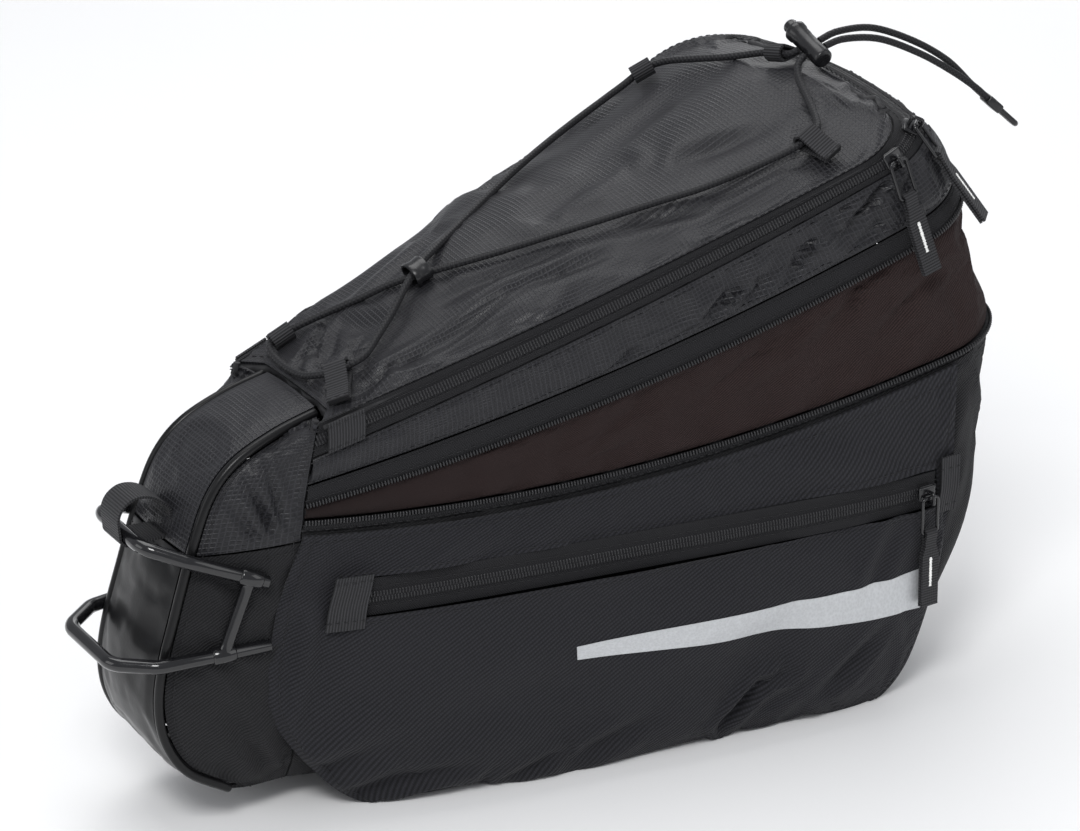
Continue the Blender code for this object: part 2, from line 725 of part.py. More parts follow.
def make_pockets(looks):
    """A hollow pocket on each flank, slit for its zip."""
    steps, columns, mid = 2, 11, 4
    count = steps * (len(POCKET_ROWS) - 1)
    slit = range(steps * POCKET_ZIP_ROWS[0], steps * POCKET_ZIP_ROWS[1])
    holes = {(i, j) for i in slit for j in range(1, columns - 1)}
    for word, side in (("left", -1), ("right", 1)):
        flip = Vector((1, side, 1))
        outer = [[pocket_row(i / count, s) * flip for s in pocket_columns(columns)] for i in range(count + 1)]
        turns = {True: Vector((0, side, 0.2)), False: Vector((0, side / 2, -1))}
        normals = grid_normals(outer, lambda p: turns[p.z > POCKET_DEPTH / 2])
        cloth(f"pocket_{word}", outer, normals, CLOTH, looks["plain"], holes)
        low, high = ([(outer[i][j], normals[i][j]) for j in range(1, columns)]
                     for i in (slit[0], slit[-1] + 1))
        width = (high[mid][0] - low[mid][0]).length
        edge = ZIP_CHAIN / 2 / width
        shares = (0.0, 0.5 - edge * 1.2, 0.5 - edge, 0.5 + edge, 0.5 + edge * 1.2, 1.0)
        rise = outer[slit[1]][mid + 1] - low[mid][0].lerp(high[mid][0], 0.5)
        lift = rise.dot(normals[slit[1]][mid + 1])
        puffs = (0.0, lift * 0.9, lift + ZIP_RISE, lift + ZIP_RISE, lift * 0.9, 0.0)
        rows, turns = strip(low, high, shares, puffs)
        for row in rows:
            row[-1] -= Vector((2 * SEAM, 0, 0))
        cloth(f"pocket_zip_{word}", rows, turns, CLOTH, looks["zip"])


def flank_spot(name, x, side, lift):
    """A point over a level line of the flank, lifted off it."""
    lean = UPPER_RINGS[name][4] * WALL_LEAN
    return Vector((x, side * (flank(x) - lean + lift), line_height(name, x)))


def make_tabs(looks):
    """Ribbed webbing over the front ends of the zips, and a flap over each pocket zip's rear end."""
    over_chain = ZIP_RISE + WEBBING + 2 * GAP
    for word, side in (("left", -1), ("right", 1)):
        outer = []
        for k in range(3):
            x = LID_FRONT * 0.935 + TAB_WIDTH * k / 2
            low, high = (flank_spot(n, x, side, over_chain) for n in ("band_head", "lid_edge"))
            outer.append([low.lerp(high, share) for share in (0.06, 0.5, 0.94)])
        normals = [[Vector((0, side, 0))] * 3 for _ in outer]
        cloth(f"lid_zip_tab_{word}", outer, normals, WEBBING, looks["webbing"])
        for name, s, width, lift in (
            ("pocket_zip_tab", TAB_START, TAB_WIDTH, over_chain),
            ("zip_garage", GARAGE_START, GARAGE_WIDTH, WEBBING + 3 * GAP),
        ):
            step = width / (BODY_LENGTH * 0.79)
            low, high = (k / (len(POCKET_ROWS) - 1) for k in POCKET_ZIP_ROWS)
            reach = (high - low) * 0.12
            outer = []
            for t in (low - reach, (low + high) / 2, high + reach):
                row = [pocket_row(t, s + step * k / 2) for k in range(3)]
                outer.append([(p + Vector((0, lift, 0))) * Vector((1, side, 1)) for p in row])
            cloth(f"{name}_{word}", outer, [[Vector((0, side, 0))] * 3] * 3, WEBBING, looks["webbing"])


def pocket_height_share(z, x):
    """Where the pocket's surface has this height at this x, as its t and s."""
    low, high = 1 / (len(POCKET_ROWS) - 1), POCKET_ZIP_ROWS[1] / (len(POCKET_ROWS) - 1)
    for _ in range(30):
        t = (low + high) / 2
        row = share_along(POCKET_ROWS, t)
        start, end = row[2] * LID_FRONT, row[4] * BODY_LENGTH
        s = min(max((x - start) / (end - start), 0.0), 1.0)
        if pocket_row(t, s).z < z:
            low = t
        else:
            high = t
    return t, s


def make_reflective_strips(looks):
    """A light strip on each pocket that widens to the rear."""
    for word, side in (("left", -1), ("right", 1)):
        outer = []
        for k in range(9):
            x = lerp(STRIP_FRONT, STRIP_REAR, k / 8) * BODY_LENGTH
            foot = lerp(STRIP_TOP - STRIP_FRONT_HEIGHT, STRIP_TOP - STRIP_REAR_HEIGHT, k / 8)
            row = []
            for share in (0.0, 0.5, 1.0):
                t, s = pocket_height_share(lerp(foot, STRIP_TOP, share), x)
                row.append((pocket_row(t, s) + Vector((0, STRIP_LIFT, 0))) * Vector((1, side, 1)))
            outer.append(row)
        normals = [[Vector((0, side, 0))] * 3 for _ in outer]
        cloth(f"reflective_strip_{word}", outer, normals, STRIP_THICKNESS, looks["reflective"])


def folded_webbing(name, frame, reach, core, width, wall, look, neck=None):
    """Webbing folded round a cord or bar: x runs from its sewn end to the fold, z up, y across."""
    steps = 6
    pinch = wall + GAP
    ring = core + wall
    throat = max(reach - 2.6 * ring, 0.3 * reach)
    path = [(0.0, -pinch), (throat, -pinch)]
    path += [(reach + ring * sin(a), -ring * cos(a)) for a in (pi * (k / steps) for k in range(steps + 1))]
    path += [(throat, pinch), (0.0, pinch)]
    outer, normals = [], []
    for i, (x, z) in enumerate(path):
        before, after = path[max(i - 1, 0)], path[min(i + 1, len(path) - 1)]
        run = Vector((after[0] - before[0], after[1] - before[1])).normalized()
        turn = frame.to_3x3() @ Vector((run.y, 0, -run.x))
        half = (neck if neck and x > throat else width) / 2
        outer.append([frame @ Vector((x, y, z)) for y in (-half, half)])
        normals.append([turn] * 2)
    return cloth(name, outer, normals, wall, look)


def make_cord_loops(looks):
    """Five short webbing loops that hold the bungee cord on the lid."""
    for name, k, (x, y) in CORD_LOOPS:
        before, fold, after = (over_lid(*BUNGEE_ROUTE[i]) for i in (k - 1, k, k + 1))
        cord = (after - before).normalized()
        run = fold - over_lid(x, y, 3 * WEBBING)
        across = cord if Vector((0, 0, 1)).cross(run).dot(cord) > 0 else -cord
        along = run - across * run.dot(across)
        frame = axes(along, across, fold - along)
        core = CORD / 2 + LOOP_PLAY
        folded_webbing(f"cord_loop_{name}", frame, along.length, core, LOOP_WIDTH, WEBBING, looks["webbing"])


def smooth_route(points, step):
    """Points a step apart on a smooth curve through a route's points."""
    fine = [Vector(share_along(points, k / 600)) for k in range(601)]
    length = sum((b - a).length for a, b in zip(fine, fine[1:]))
    count = round(length / step)
    route, walked, target = [fine[0]], 0.0, length / count
    for a, b in zip(fine, fine[1:]):
        run = (b - a).length
        while walked + run >= target and len(route) < count:
            route.append(a.lerp(b, (target - walked) / run))
            target += length / count
        walked += run
    return route + [fine[-1]]


def make_cord(name, points, step, look):
    curve = bpy.data.curves.new(name, "CURVE")
    curve.dimensions = "3D"
    curve.bevel_depth = CORD / 2
    curve.bevel_resolution = 2
    curve.use_fill_caps = True
    route = smooth_route([over_lid(*point) for point in points], step)
    spline = curve.splines.new("POLY")
    spline.points.add(len(route) - 1)
    for spot, place in zip(spline.points, route):
        spot.co = (*place, 1.0)
    made = bpy.data.objects.new(name, curve)
    made.data.materials.append(look)
    made.parent = BAG
    bpy.context.collection.objects.link(made)


def rod(name, start, end, radius, look, sides=20, bevel=0.0):
    """A round bar from start to end."""
    run = (end - start).normalized()
    route = [start, end]
    if bevel:
        route = [start, start + run * bevel, end - run * bevel, end]
    mesh = tube_mesh(name, route, radius, sides)
    if bevel:
        for k, v in enumerate(mesh.vertices):
            if k < sides or k >= 3 * sides:
                centre = start if k < sides else end
                v.co = centre + (v.co - centre) * (1 - bevel / radius)
    return add_object(name, mesh, look)


def make_cord_fittings(looks):
    """The clip where the strands cross, the lock with its button, and the fitting on the tails' ends."""
    low, high = (over_lid(*BUNGEE_ROUTE[k]) for k in CLIP_POINTS)
    run = [over_lid(*BUNGEE_ROUTE[k + 1]) - over_lid(*BUNGEE_ROUTE[k - 1]) for k in CLIP_POINTS]
    frame = axes(run[1].normalized() - run[0].normalized(), Vector((0, 1, 0)), low.lerp(high, 0.5))
    half = Vector((CLIP_LENGTH / 2, 0, 0))
    shells = []
    for name, length, wall in (("cord_cross_clip", half, CLIP_WALL), ("clip_bore", half * 2, 0.0)):
        shape = rod(name, -length, length, 1.0, looks["plastic"], 16)
        squash = Matrix.Diagonal((1, CLIP_BORE[0] / 2 + wall, CLIP_BORE[1] / 2 + wall, 1))
        shape.data.transform(frame @ squash)
        shells.append(shape)
    outer, inner = shells
    inner.hide_render = True
    inner.display_type = "WIRE"
    cut = outer.modifiers.new("bore", "BOOLEAN")
    cut.operation = "DIFFERENCE"
    cut.object = inner

    foot, head = over_lid(*LOCK_FOOT), over_lid(*LOCK_HEAD)
    run = (head - foot).normalized()
    barrel = rod("cord_lock_barrel", foot, head, LOCK_RADIUS, looks["plastic"], 18, 0.0008)
    seat = head - run * BUTTON_SEAT
    bore = rod("lock_bore", seat, head + run * BUTTON_SEAT, BUTTON_RADIUS + GAP, looks["plastic"], 18)
    bore.hide_render = True
    bore.display_type = "WIRE"
    cut = barrel.modifiers.new("bore", "BOOLEAN")
    cut.operation = "DIFFERENCE"
    cut.object = bore
    button = rod("cord_lock_button", seat + run * (BUTTON_TRAVEL + GAP), head + run * BUTTON_RISE,
                 BUTTON_RADIUS, looks["plastic"], 16, 0.0006)
    set_pivot(button, head)

    out, side = Vector(TAIL_OUT).normalized(), Vector(TAIL_SIDE).normalized()
    start = over_lid(*TAIL_END) + out * GAP
    frame = axes(out, side, start)
    clamp = add_object("cord_end", box_mesh(
        "cord_end", (0, -CORD - CLIP_WALL, -CORD / 2 - CLIP_WALL / 2),
        (END_CLAMP, CORD + CLIP_WALL, CORD / 2 + CLIP_WALL / 2), 0.0008, frame), looks["plastic"])
    corners = [Vector((END_CLAMP * 0.6, -END_WIDTH, 0)), Vector((END_LENGTH, -END_WIDTH, 0)),
               Vector((END_LENGTH, END_WIDTH, 0)), Vector((END_CLAMP * 0.6, END_WIDTH, 0))]
    route = [frame @ p for p in rounded_route(corners, END_WIDTH * 0.95, 4, True)]
    loop = add_object("end_loop", tube_mesh("end_loop", route, CORD / 2.4, 8, True), looks["plastic"])
    join(clamp, [loop])


def make_bungee(looks):
    make_cord("bungee_cord", BUNGEE_ROUTE, BUNGEE_STEP, looks["cord"])
    make_cord("bungee_tail_left", TAIL_LEFT, TAIL_STEP, looks["cord"])
    make_cord("bungee_tail_right", TAIL_RIGHT, TAIL_STEP, looks["cord"])


def make_slider(name, seat, hang, looks):
    """A zip slider with its bridge, and a pull that hangs from it.

    The seat's x runs down the tape, its y along the chain and its z out of the cloth.
    """
    body = box_mesh(name, (-SLIDER.y / 2, -SLIDER.x / 2, SLIDER_LIFT), (SLIDER.y / 2, SLIDER.x / 2, SLIDER.z),
                    0.0005, seat)
    body = add_object(f"{name}_slider", body, looks["metal"])
    wall = PULL_WIRE / 2
    reach, top = SLIDER_EYE / 2 + wall, SLIDER.z + SLIDER_EYE + wall
    foot = (SLIDER_LIFT + SLIDER.z) / 2
    ends = ((-reach, foot), (-reach, top), (reach, top), (reach, foot))
    corners = [Vector((EYE_SHIFT + x, 0, z)) for x, z in ends]
    route = [seat @ p for p in rounded_route(corners, wall, 2)]
    join(body, [add_object(f"{name}_bridge", tube_mesh("bridge", route, wall, 6), looks["metal"])])

    eye = seat @ Vector((EYE_SHIFT, 0, SLIDER.z + SLIDER_EYE / 2))
    pull = axes(hang, seat.to_3x3() @ Vector((0, 1, 0)), eye)
    half, length = PULL_LOOP.x / 2, PULL_LOOP.y
    corners = [Vector((x, y, 0)) for x, y in ((0, -half), (length, -half), (length, half), (0, half))]
    route = [pull @ p for p in rounded_route(corners, PULL_WIRE, 2, True)]
    ring = add_object(f"{name}_pull_loop", tube_mesh("pull_loop", route, wall, 6, True), looks["metal"])
    sewn = pull @ Vector((length + PULL_STRAP.y, 0, 0))
    back = axes(-(pull.to_3x3() @ Vector((1, 0, 0))), pull.to_3x3() @ Vector((0, 1, 0)), sewn)
    strap = folded_webbing(f"{name}_pull_strap", back, PULL_STRAP.y, wall + GAP, PULL_STRAP.x,
                           PULL_STRAP.z / 2, looks["webbing"], PULL_LOOP.x - 3 * PULL_WIRE / 2)
    for moving in (ring, strap):
        set_pivot(moving, eye)


def zip_seat(foot, head, along, outward, rise):
    """A slider's seat between a zip's lower and upper edge: x down the tape, y along the chain."""
    out = (foot - head).cross(along).normalized()
    if out.dot(outward) < 0:
        out.negate()
    down = along.cross(out)
    if down.z > 0:
        down.negate()
    return axes(down, out.cross(down), foot.lerp(head, 0.5) + out * rise)


def make_pulls(looks):
    """The lid zip's two sliders at its rear left corner, and one on each pocket zip."""
    low, high = upper_ring("band_head"), upper_ring("lid_edge")
    for name, round_corner, out, back in LID_PULLS:
        column = FLANK_STEPS + CORNER_STEPS * round_corner
        i, f = int(column), column % 1
        foot, head = (line[i][0].lerp(line[i + 1][0], f) for line in (low, high))
        along = low[i + 1][0] - low[i][0] + high[i + 1][0] - high[i][0]
        turn = low[i][1].lerp(low[i + 1][1], f)
        hang = Vector((turn.x, turn.y, 0)).normalized() * out + Vector((back, 0, -1))
        make_slider(name, zip_seat(foot, head, along, turn, ZIP_RISE), hang.normalized(), looks)
    s, out, back = POCKET_PULL
    low, high = (k / (len(POCKET_ROWS) - 1) for k in POCKET_ZIP_ROWS)
    for word, side in (("left", -1), ("right", 1)):
        flip = Vector((1, side, 1))
        foot, head = pocket_row(low, s) * flip, pocket_row(high, s) * flip
        along = (pocket_row(low, s + 0.01) - pocket_row(low, s - 0.01)) * flip
        seat = zip_seat(foot, head, along, Vector((0, side, 0)), 0.0)
        bulge = seat.to_3x3().transposed() @ (pocket_row((low + high) / 2, s) * flip - seat.translation)
        seat = seat @ Matrix.Translation((0, 0, bulge.z + ZIP_RISE))
        make_slider(f"pocket_{word}", seat, Vector((back, side * out, -1)).normalized(), looks)


def bow_route(height, heel_height, side):
    """Half a bow of the frame: its heel beside the bag, its shoulder past the piping, its front corner."""
    t = band_share_at(height)
    front = band_point(t)[0]
    corner = Vector((front.x - BOW_REACH, side * BOW_WIDTH / 2, height))
    shoulder_y = band_half(t) + PIPING / 2 + ROD / 2 + 3 * GAP
    shoulder = Vector((front.x - BOW_REACH * 0.2, side * shoulder_y, lerp(height, heel_height, 0.3)))
    heel_y = flank(FRAME_HEEL) + ROD / 2 + 3 * GAP
    heel = Vector((FRAME_HEEL, side * heel_y, heel_height))
    return [heel, shoulder, corner]


def make_frame(looks):
    """Two wire bows joined by a strut at each side, all one welded piece."""
    bows, guides = [], []
    for name, height, heel in (("upper", UPPER_BOW, UPPER_HEEL), ("lower", LOWER_BOW, LOWER_HEEL)):
        half = bow_route(height, heel, -1)
        corners = half + [p * Vector((1, -1, 1)) for p in half[::-1]]
        bows.append(half)
        body = add_object(f"{name}_bow", tube_mesh("bow", rounded_route(corners, BOW_CORNER, 4), ROD / 2, 8),
                          looks["metal"])
        guides.append(body)
    frame = guides.pop(0)
    frame.name = "wire_frame"
    for side in (-1, 1):
        flip = Vector((1, side * -1, 1))
        top = bows[0][0].lerp(bows[0][1], STRUT_TOP) * flip
        foot = bows[1][0].lerp(bows[1][1], STRUT_FOOT) * flip
        run = (foot - top).normalized() * ROD / 3
        guides.append(add_object(f"strut_{side}", tube_mesh("strut", [top - run, foot + run], ROD / 2.2, 8),
                                 looks["metal"]))
    join(frame, guides)


def make_frame_strap(looks):
    """A webbing loop from the front band round the upper bow."""
    t = band_share_at(UPPER_BOW)
    seat = band_point(t)[0]
    bar = Vector((seat.x - BOW_REACH, 0, UPPER_BOW))
    ring = ROD / 2 + STRAP_SLACK
    lift = 2 * GAP
    path = [band_point(band_share_at(UPPER_BOW - ring * 1.1), -lift)[0]]
    turns = [radians(d) for d in range(-60, -216, -26)]
    path += [bar + Vector((ring * cos(a), 0, ring * sin(a))) for a in turns]
    top = band_point(band_share_at(UPPER_BOW + ring * 1.4), -lift * 4)[0]
    path += [bar + Vector((0, 0, STRAP_RISE)) - Vector((ring * 0.5, 0, 0.002)),
             bar.lerp(top, 0.25) * Vector((1, 1, 0)) + Vector((0, 0, bar.z + STRAP_RISE))]
    path += [top, band_point(band_share_at(UPPER_BOW + ring * 0.2), -lift)[0]]
    outer, normals = [], []
    for i, spot in enumerate(path):
        run = (path[min(i + 1, len(path) - 1)] - path[max(i - 1, 0)]).normalized()
        turn = Vector((run.z, 0, -run.x))
        outer.append([spot + Vector((0, y, 0)) for y in (-TAB_WIDTH / 2, TAB_WIDTH / 2)])
        normals.append([-turn] * 2)
    cloth("frame_strap", outer, normals, WEBBING, looks["webbing"])


def stand_on_origin(loose):
    """Shift the bag so that the middle of its underside, without its loose tails, is at the origin."""
    graph = bpy.context.evaluated_depsgraph_get()
    corners = []
    for found in bpy.data.objects:
        if found.type in ("MESH", "CURVE") and not found.hide_render and found.name not in loose:
            shape = found.evaluated_get(graph).to_mesh()
            corners += [found.matrix_world @ v.co for v in shape.vertices]
    low, high = ([pick(p[k] for p in corners) for k in range(3)] for pick in (min, max))
    BAG.location = (-(low[0] + high[0]) / 2, -(low[1] + high[1]) / 2, -low[2])


clean_scene()
BAG = bpy.data.objects.new("bag_origin", None)
bpy.context.collection.objects.link(BAG)


def main():
    looks = {
        "plain": material("twill", (0.030, 0.030, 0.033), 0.8),
        "ripstop": material("ripstop", (0.040, 0.040, 0.043), 0.6),
        "satin": material("satin", (0.018, 0.018, 0.019), 0.45),
        "gusset": material("maroon_twill", (0.055, 0.028, 0.027), 0.8),
        "zip": material("zip_tape", (0.020, 0.020, 0.021), 0.7),
        "metal": material("black_metal", (0.010, 0.010, 0.011), 0.25),
        "webbing": material("webbing", (0.018, 0.018, 0.019), 0.7),
        "cord": material("braided_cord", (0.015, 0.015, 0.016), 0.6),
        "plastic": material("black_plastic", (0.012, 0.012, 0.013), 0.35),
        "reflective": material("reflective_strip", (0.45, 0.46, 0.47), 0.5),
    }
    make_wall_and_base(looks)
    make_front(looks)
    make_upper_cloth(looks)
    make_zips(looks)
    make_pockets(looks)
    make_tabs(looks)
    make_reflective_strips(looks)
    make_cord_loops(looks)
    make_bungee(looks)
    make_cord_fittings(looks)
    make_pulls(looks)
    make_frame(looks)
    make_frame_strap(looks)
    stand_on_origin(("bungee_tail_left", "bungee_tail_right", "cord_end"))


main()
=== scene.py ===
"""The looks of a wedge-shaped seat post bag: sewn cloth, zips, webbing, a bungee cord and a bent wire frame.

Metres, z up, x to the rear, the left side at -y. Shapes are worked out in the bag's own frame, in which the
front band's foremost point is at x = 0, and moved to the row frame when a piece is made.
"""
from math import cos, pi, radians, sin, tan

import bmesh
import bpy
import numpy as np
from mathutils import Matrix, Vector, noise


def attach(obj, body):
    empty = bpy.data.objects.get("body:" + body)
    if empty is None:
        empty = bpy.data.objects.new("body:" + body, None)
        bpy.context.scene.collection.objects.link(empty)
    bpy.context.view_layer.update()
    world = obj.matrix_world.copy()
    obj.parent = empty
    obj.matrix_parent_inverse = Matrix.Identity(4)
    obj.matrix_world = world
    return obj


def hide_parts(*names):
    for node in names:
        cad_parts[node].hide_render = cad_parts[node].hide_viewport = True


bl_info = {
    "name": "Seat post bag",
    "version": (1, 0, 0),
    "blender": (4, 5, 0),
    "location": "3D View > Sidebar > Bag",
    "description": "Makes a cloth bag that hangs behind a bicycle seat post, piece by piece",
    "category": "Object",
}

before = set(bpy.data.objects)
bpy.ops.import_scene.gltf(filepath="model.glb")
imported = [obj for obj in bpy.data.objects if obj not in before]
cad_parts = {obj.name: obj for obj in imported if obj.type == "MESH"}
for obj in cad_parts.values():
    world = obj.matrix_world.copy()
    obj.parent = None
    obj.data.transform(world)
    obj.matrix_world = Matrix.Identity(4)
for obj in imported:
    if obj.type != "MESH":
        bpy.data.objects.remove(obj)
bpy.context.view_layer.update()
# Where the front band's foremost point lies in the row frame
FRONT_X = -0.19265

SIDES = (("left", -1), ("right", 1))
THREAD_LIFT = 0.0001
BINDING = 0.0016
BINDING_DEPTH = 1.6
FADE_WIDTH = 0.008
NARROW_PANEL = 0.025
CORNER_FULLNESS = 0.0030
CORNER_REACH = 0.10
STUFFING = 0.0045
MOST_TRIM = 0.3
MIDDLE_X = 0.2

# Main sizes of the bag
BODY_LENGTH = 0.398
BAND_WIDTH = 0.052
BAND_TAPER = 0.006
FRONT_HEIGHT = 0.183
REAR_HEIGHT = 0.298
LID_FRONT = 0.084
FLARE = radians(10)
REAR_CORNER = 0.026
REAR_BULGE = 0.005
WALL_LEAN = 0.010
BASE_LIFT = 0.005
BASE_FRONT_RISE = 0.0145
BASE_FLAT = 0.36
LID_CROWN = 0.015
POCKET_DEPTH = 0.015

CLOTH = 0.0016
LID_PADDING = 0.0024
GAP = 0.0003
SEAM = 0.0005
PIPING = 0.0042
ZIP_CHAIN = 0.0065
ZIP_RISE = 0.0014
WEBBING = 0.0011
TAB_WIDTH = 0.016
LOOP_WIDTH = 0.010
CORD = 0.0032
LOOP_PLAY = 0.0013
ROUTE_STEP = 0.003
COIL_WIDTH = 0.0030
COIL_RISE = 0.0007
SLIDER = Vector((0.009, 0.0070, 0.0022))
SLIDER_LIFT = 0.0007
SLIDER_EYE = 0.0036
EYE_SHIFT = 0.0013
PULL_WIRE = 0.0016
PULL_LOOP = Vector((0.0084, 0.017))
PULL_STRAP = Vector((0.009, 0.036, 0.0022))

# Ripples of each cloth: depth, size, where the noise is read and stretch along x
RIPPLES = {
    "body_wall": (0.0009, 0.03, 3.0, 1.0),
    "front_band_lower": (0.0005, 0.02, 5.0, 1.0),
    "front_band_upper": (0.0010, 0.02, 5.0, 1.0),
    "side_front": (0.0010, 0.022, 2.0, 1.0),
    "gusset": (0.0012, 0.026, 8.0, 1.3),
    "upper_band": (0.0020, 0.026, 8.0, 1.3),
    "expansion_zip": (0.0005, 0.02, 4.0, 1.0),
    "lid": (0.0022, 0.034, 11.0, 0.7),
    "lid_zip": (0.0007, 0.02, 6.0, 1.0),
    "pocket": (0.0016, 0.04, 21.0, 0.8),
    "pocket_zip": (0.0005, 0.02, 6.0, 1.0),
}
# Buckles of each sewn panel: its share of the spare cloth, and how far it may move
BUCKLES = {
    "body_wall": (0.6, 0.002),
    "front_band": (0.4, 0.0012),
    "side_front": (0.7, 0.0018),
    "gusset": (1.0, 0.0030),
    "upper_band": (2.0, 0.0034),
    "lid": (1.0, 0.0022),
    "pocket": (0.8, 0.0022),
}
# How the simulated cloth takes load, and for how many frames it moves
HAND = {"quality": 6, "mass": 0.15, "tension_stiffness": 20, "compression_stiffness": 20,
        "shear_stiffness": 8, "bending_stiffness": 0.3}
SETTLE_FRAMES = 15

# Wire frame
ROD = 0.0062
BOW_CORNER = 0.010
BOW_REACH = 0.020
BOW_WIDTH = 0.040
UPPER_BOW = 0.138
LOWER_BOW = 0.088
UPPER_HEEL = 0.117
LOWER_HEEL = 0.087
FRAME_HEEL = 0.049
STRUT_TOP = 0.22
STRUT_FOOT = 0.42
STRAP_SLACK = 0.0016
STRAP_RISE = 0.017

# Reflective strip: front and rear in BODY_LENGTH, then heights
STRIP_SPAN = (0.450, 0.885)
STRIP_TOP = 0.0665
STRIP_HEIGHTS = (0.006, 0.020)

# Cord fittings
CLIP_LENGTH = 0.008
CLIP_BORE = (0.0115, 0.0086)
CLIP_WALL = 0.0011
LOCK_FOOT = (0.3465, -0.0155, 0.0062)
LOCK_HEAD = (0.3465, 0.0075, 0.0133)
LOCK_RADIUS = 0.0046
BUTTON_RADIUS = 0.0034
BUTTON_RISE = 0.0045
# Share of the length, from the middle for the clip, and share of the wall or radius
CLIP_PROFILE = (
    (-1, 0), (-1, 0.7), (-0.86, 1), (-0.35, 0.75), (0, 0.62),
    (0.35, 0.75), (0.86, 1), (1, 0.7), (1, 0), (0, 0),
)
BARREL_PROFILE = (
    (0.0, 0.6), (0.004, 0.86), (0.03, 0.98), (0.08, 1.0), (0.30, 1.0), (0.34, 0.96), (0.66, 0.96),
    (0.70, 1.0), (0.84, 1.0), (0.88, 1.1), (0.97, 1.12), (1.0, 1.0), (1.0, 0.8), (0.62, 0.79),
)
BUTTON_PROFILE = ((0.0, 0.95), (0.02, 1.0), (0.86, 1.0), (0.95, 0.9), (1.0, 0.66))
END_CLAMP = 0.009
END_LENGTH = 0.021
END_WIDTH = 0.0028

# The bungee's route over the lid from the lock round to the lock. Here, and for the lock and the tails, x and
# y are given for a bag of DRAWN_LENGTH. The third number is the height above the lid, worked out
# from given heights above the floor.
DRAWN_LENGTH = 0.398
BUNGEE_ROUTE = (
    (0.3402, -0.0090, 0.0077), (0.3355, -0.0110, 0.0054), (0.3310, -0.0190, 0.0028),
    (0.3225, -0.0400, 0.0023), (0.3155, -0.0542, 0.0039), (0.3080, -0.0574, 0.0049),
    (0.3003, -0.0576, 0.0046), (0.2880, -0.0540, 0.0034), (0.2740, -0.0500, 0.0028),
    (0.2600, -0.0460, 0.0028), (0.2420, -0.0390, 0.0027), (0.2190, -0.0310, 0.0030),
    (0.1990, -0.0230, 0.0027), (0.1770, -0.0150, 0.0030), (0.1600, -0.0070, 0.0031),
    (0.1460, 0.0000, 0.0052), (0.1360, 0.0060, 0.0057), (0.1250, 0.0130, 0.0043),
    (0.1130, 0.0210, 0.0034), (0.1030, 0.0256, 0.0048), (0.0945, 0.0284, 0.0057),
    (0.0875, 0.0268, 0.0064), (0.0860, 0.0140, 0.0044), (0.0868, -0.0020, 0.0041),
    (0.0900, -0.0120, 0.0051), (0.0960, -0.0188, 0.0054), (0.1030, -0.0222, 0.0051),
    (0.1090, -0.0210, 0.0034), (0.1160, -0.0170, 0.0034), (0.1270, -0.0110, 0.0047),
    (0.1370, -0.0050, 0.0075), (0.1460, 0.0000, 0.0088), (0.1560, 0.0060, 0.0067),
    (0.1800, 0.0210, 0.0030), (0.2010, 0.0320, 0.0030), (0.2200, 0.0420, 0.0031),
    (0.2400, 0.0510, 0.0030), (0.2600, 0.0570, 0.0031), (0.2800, 0.0605, 0.0032),
    (0.2920, 0.0615, 0.0036), (0.3000, 0.0600, 0.0052), (0.3080, 0.0550, 0.0049),
    (0.3160, 0.0440, 0.0029), (0.3250, 0.0300, 0.0021), (0.3350, 0.0160, 0.0036),
    (0.3372, 0.0070, 0.0055), (0.3378, -0.0010, 0.0068), (0.3402, -0.0045, 0.0090),
)

# Webbing loops on the lid: the point of the route that each one holds, and where it is sewn
CORD_LOOPS = (
    ("front_left", 25, (0.0880, -0.0335)),
    ("front_right", 20, (0.0885, 0.0350)),
    ("middle_left", 5, (0.3060, -0.0720)),
    ("middle_right", 40, (0.2985, 0.0730)),
    ("rear", 45, (0.3500, 0.0068)),
)
CLIP_POINTS = (15, 31)
TAIL_LEFT = (
    (0.3518, -0.0085, 0.0103), (0.3620, -0.0090, 0.0133), (0.3800, -0.0110, 0.0106),
    (0.4000, -0.0140, 0.0012), (0.4160, -0.0175, -0.0090), (0.4282, -0.0201, -0.0183),
    (0.4346, -0.0217, -0.0245),
)
TAIL_RIGHT = (
    (0.3518, -0.0042, 0.0116), (0.3620, -0.0040, 0.0153), (0.3800, -0.0055, 0.0141),
    (0.4000, -0.0095, 0.0056), (0.4168, -0.0135, -0.0055), (0.4291, -0.0163, -0.0183),
    (0.4355, -0.0179, -0.0246),
)
TAIL_END = (0.4350, -0.0198, -0.0247)
TAIL_OUT = Vector((0.72, -0.18, -0.70))
TAIL_SIDE = Vector((0.2, 0.98, 0.0))

# Sliders: how far each stands round the rear corner, or along the pocket, and how its pull hangs
LID_PULLS = (("lid_side", 0.18, 0.22, 0.22), ("lid_rear", 0.60, 0.74, 0.0))
POCKET_PULL = (0.950, 0.03, 0.0)
GARAGE_START = 0.975
GARAGE_WIDTH = 0.010
TAB_START = 0.062

FLANK_STEPS, CORNER_STEPS, REAR_STEPS = 7, 4, 2
HALF_STEPS = FLANK_STEPS + CORNER_STEPS + REAR_STEPS

# Front band seen from the side: share of LID_FRONT, share of FRONT_HEIGHT
BAND_PROFILE = (
    (0.37, 0.092), (0.15, 0.163), (0.035, 0.25), (0.0, 0.345), (0.03, 0.45), (0.125, 0.59),
    (0.235, 0.737), (0.345, 0.852), (0.50, 0.925), (0.74, 0.972), (1.0, 1.0),
)
BAND_SEAM = 0.72
BAND_HEAD = 0.985
# Rings of the lower wall: share up the wall, rear as a share of BODY_LENGTH, share of WALL_LEAN
LOWER_RINGS = (
    (0.0, 0.875, 1.0), (0.09, 0.918, 0.45), (0.26, 0.953, 0.1), (0.50, 0.980, 0.0), (0.78, 0.992, 0.0),
)
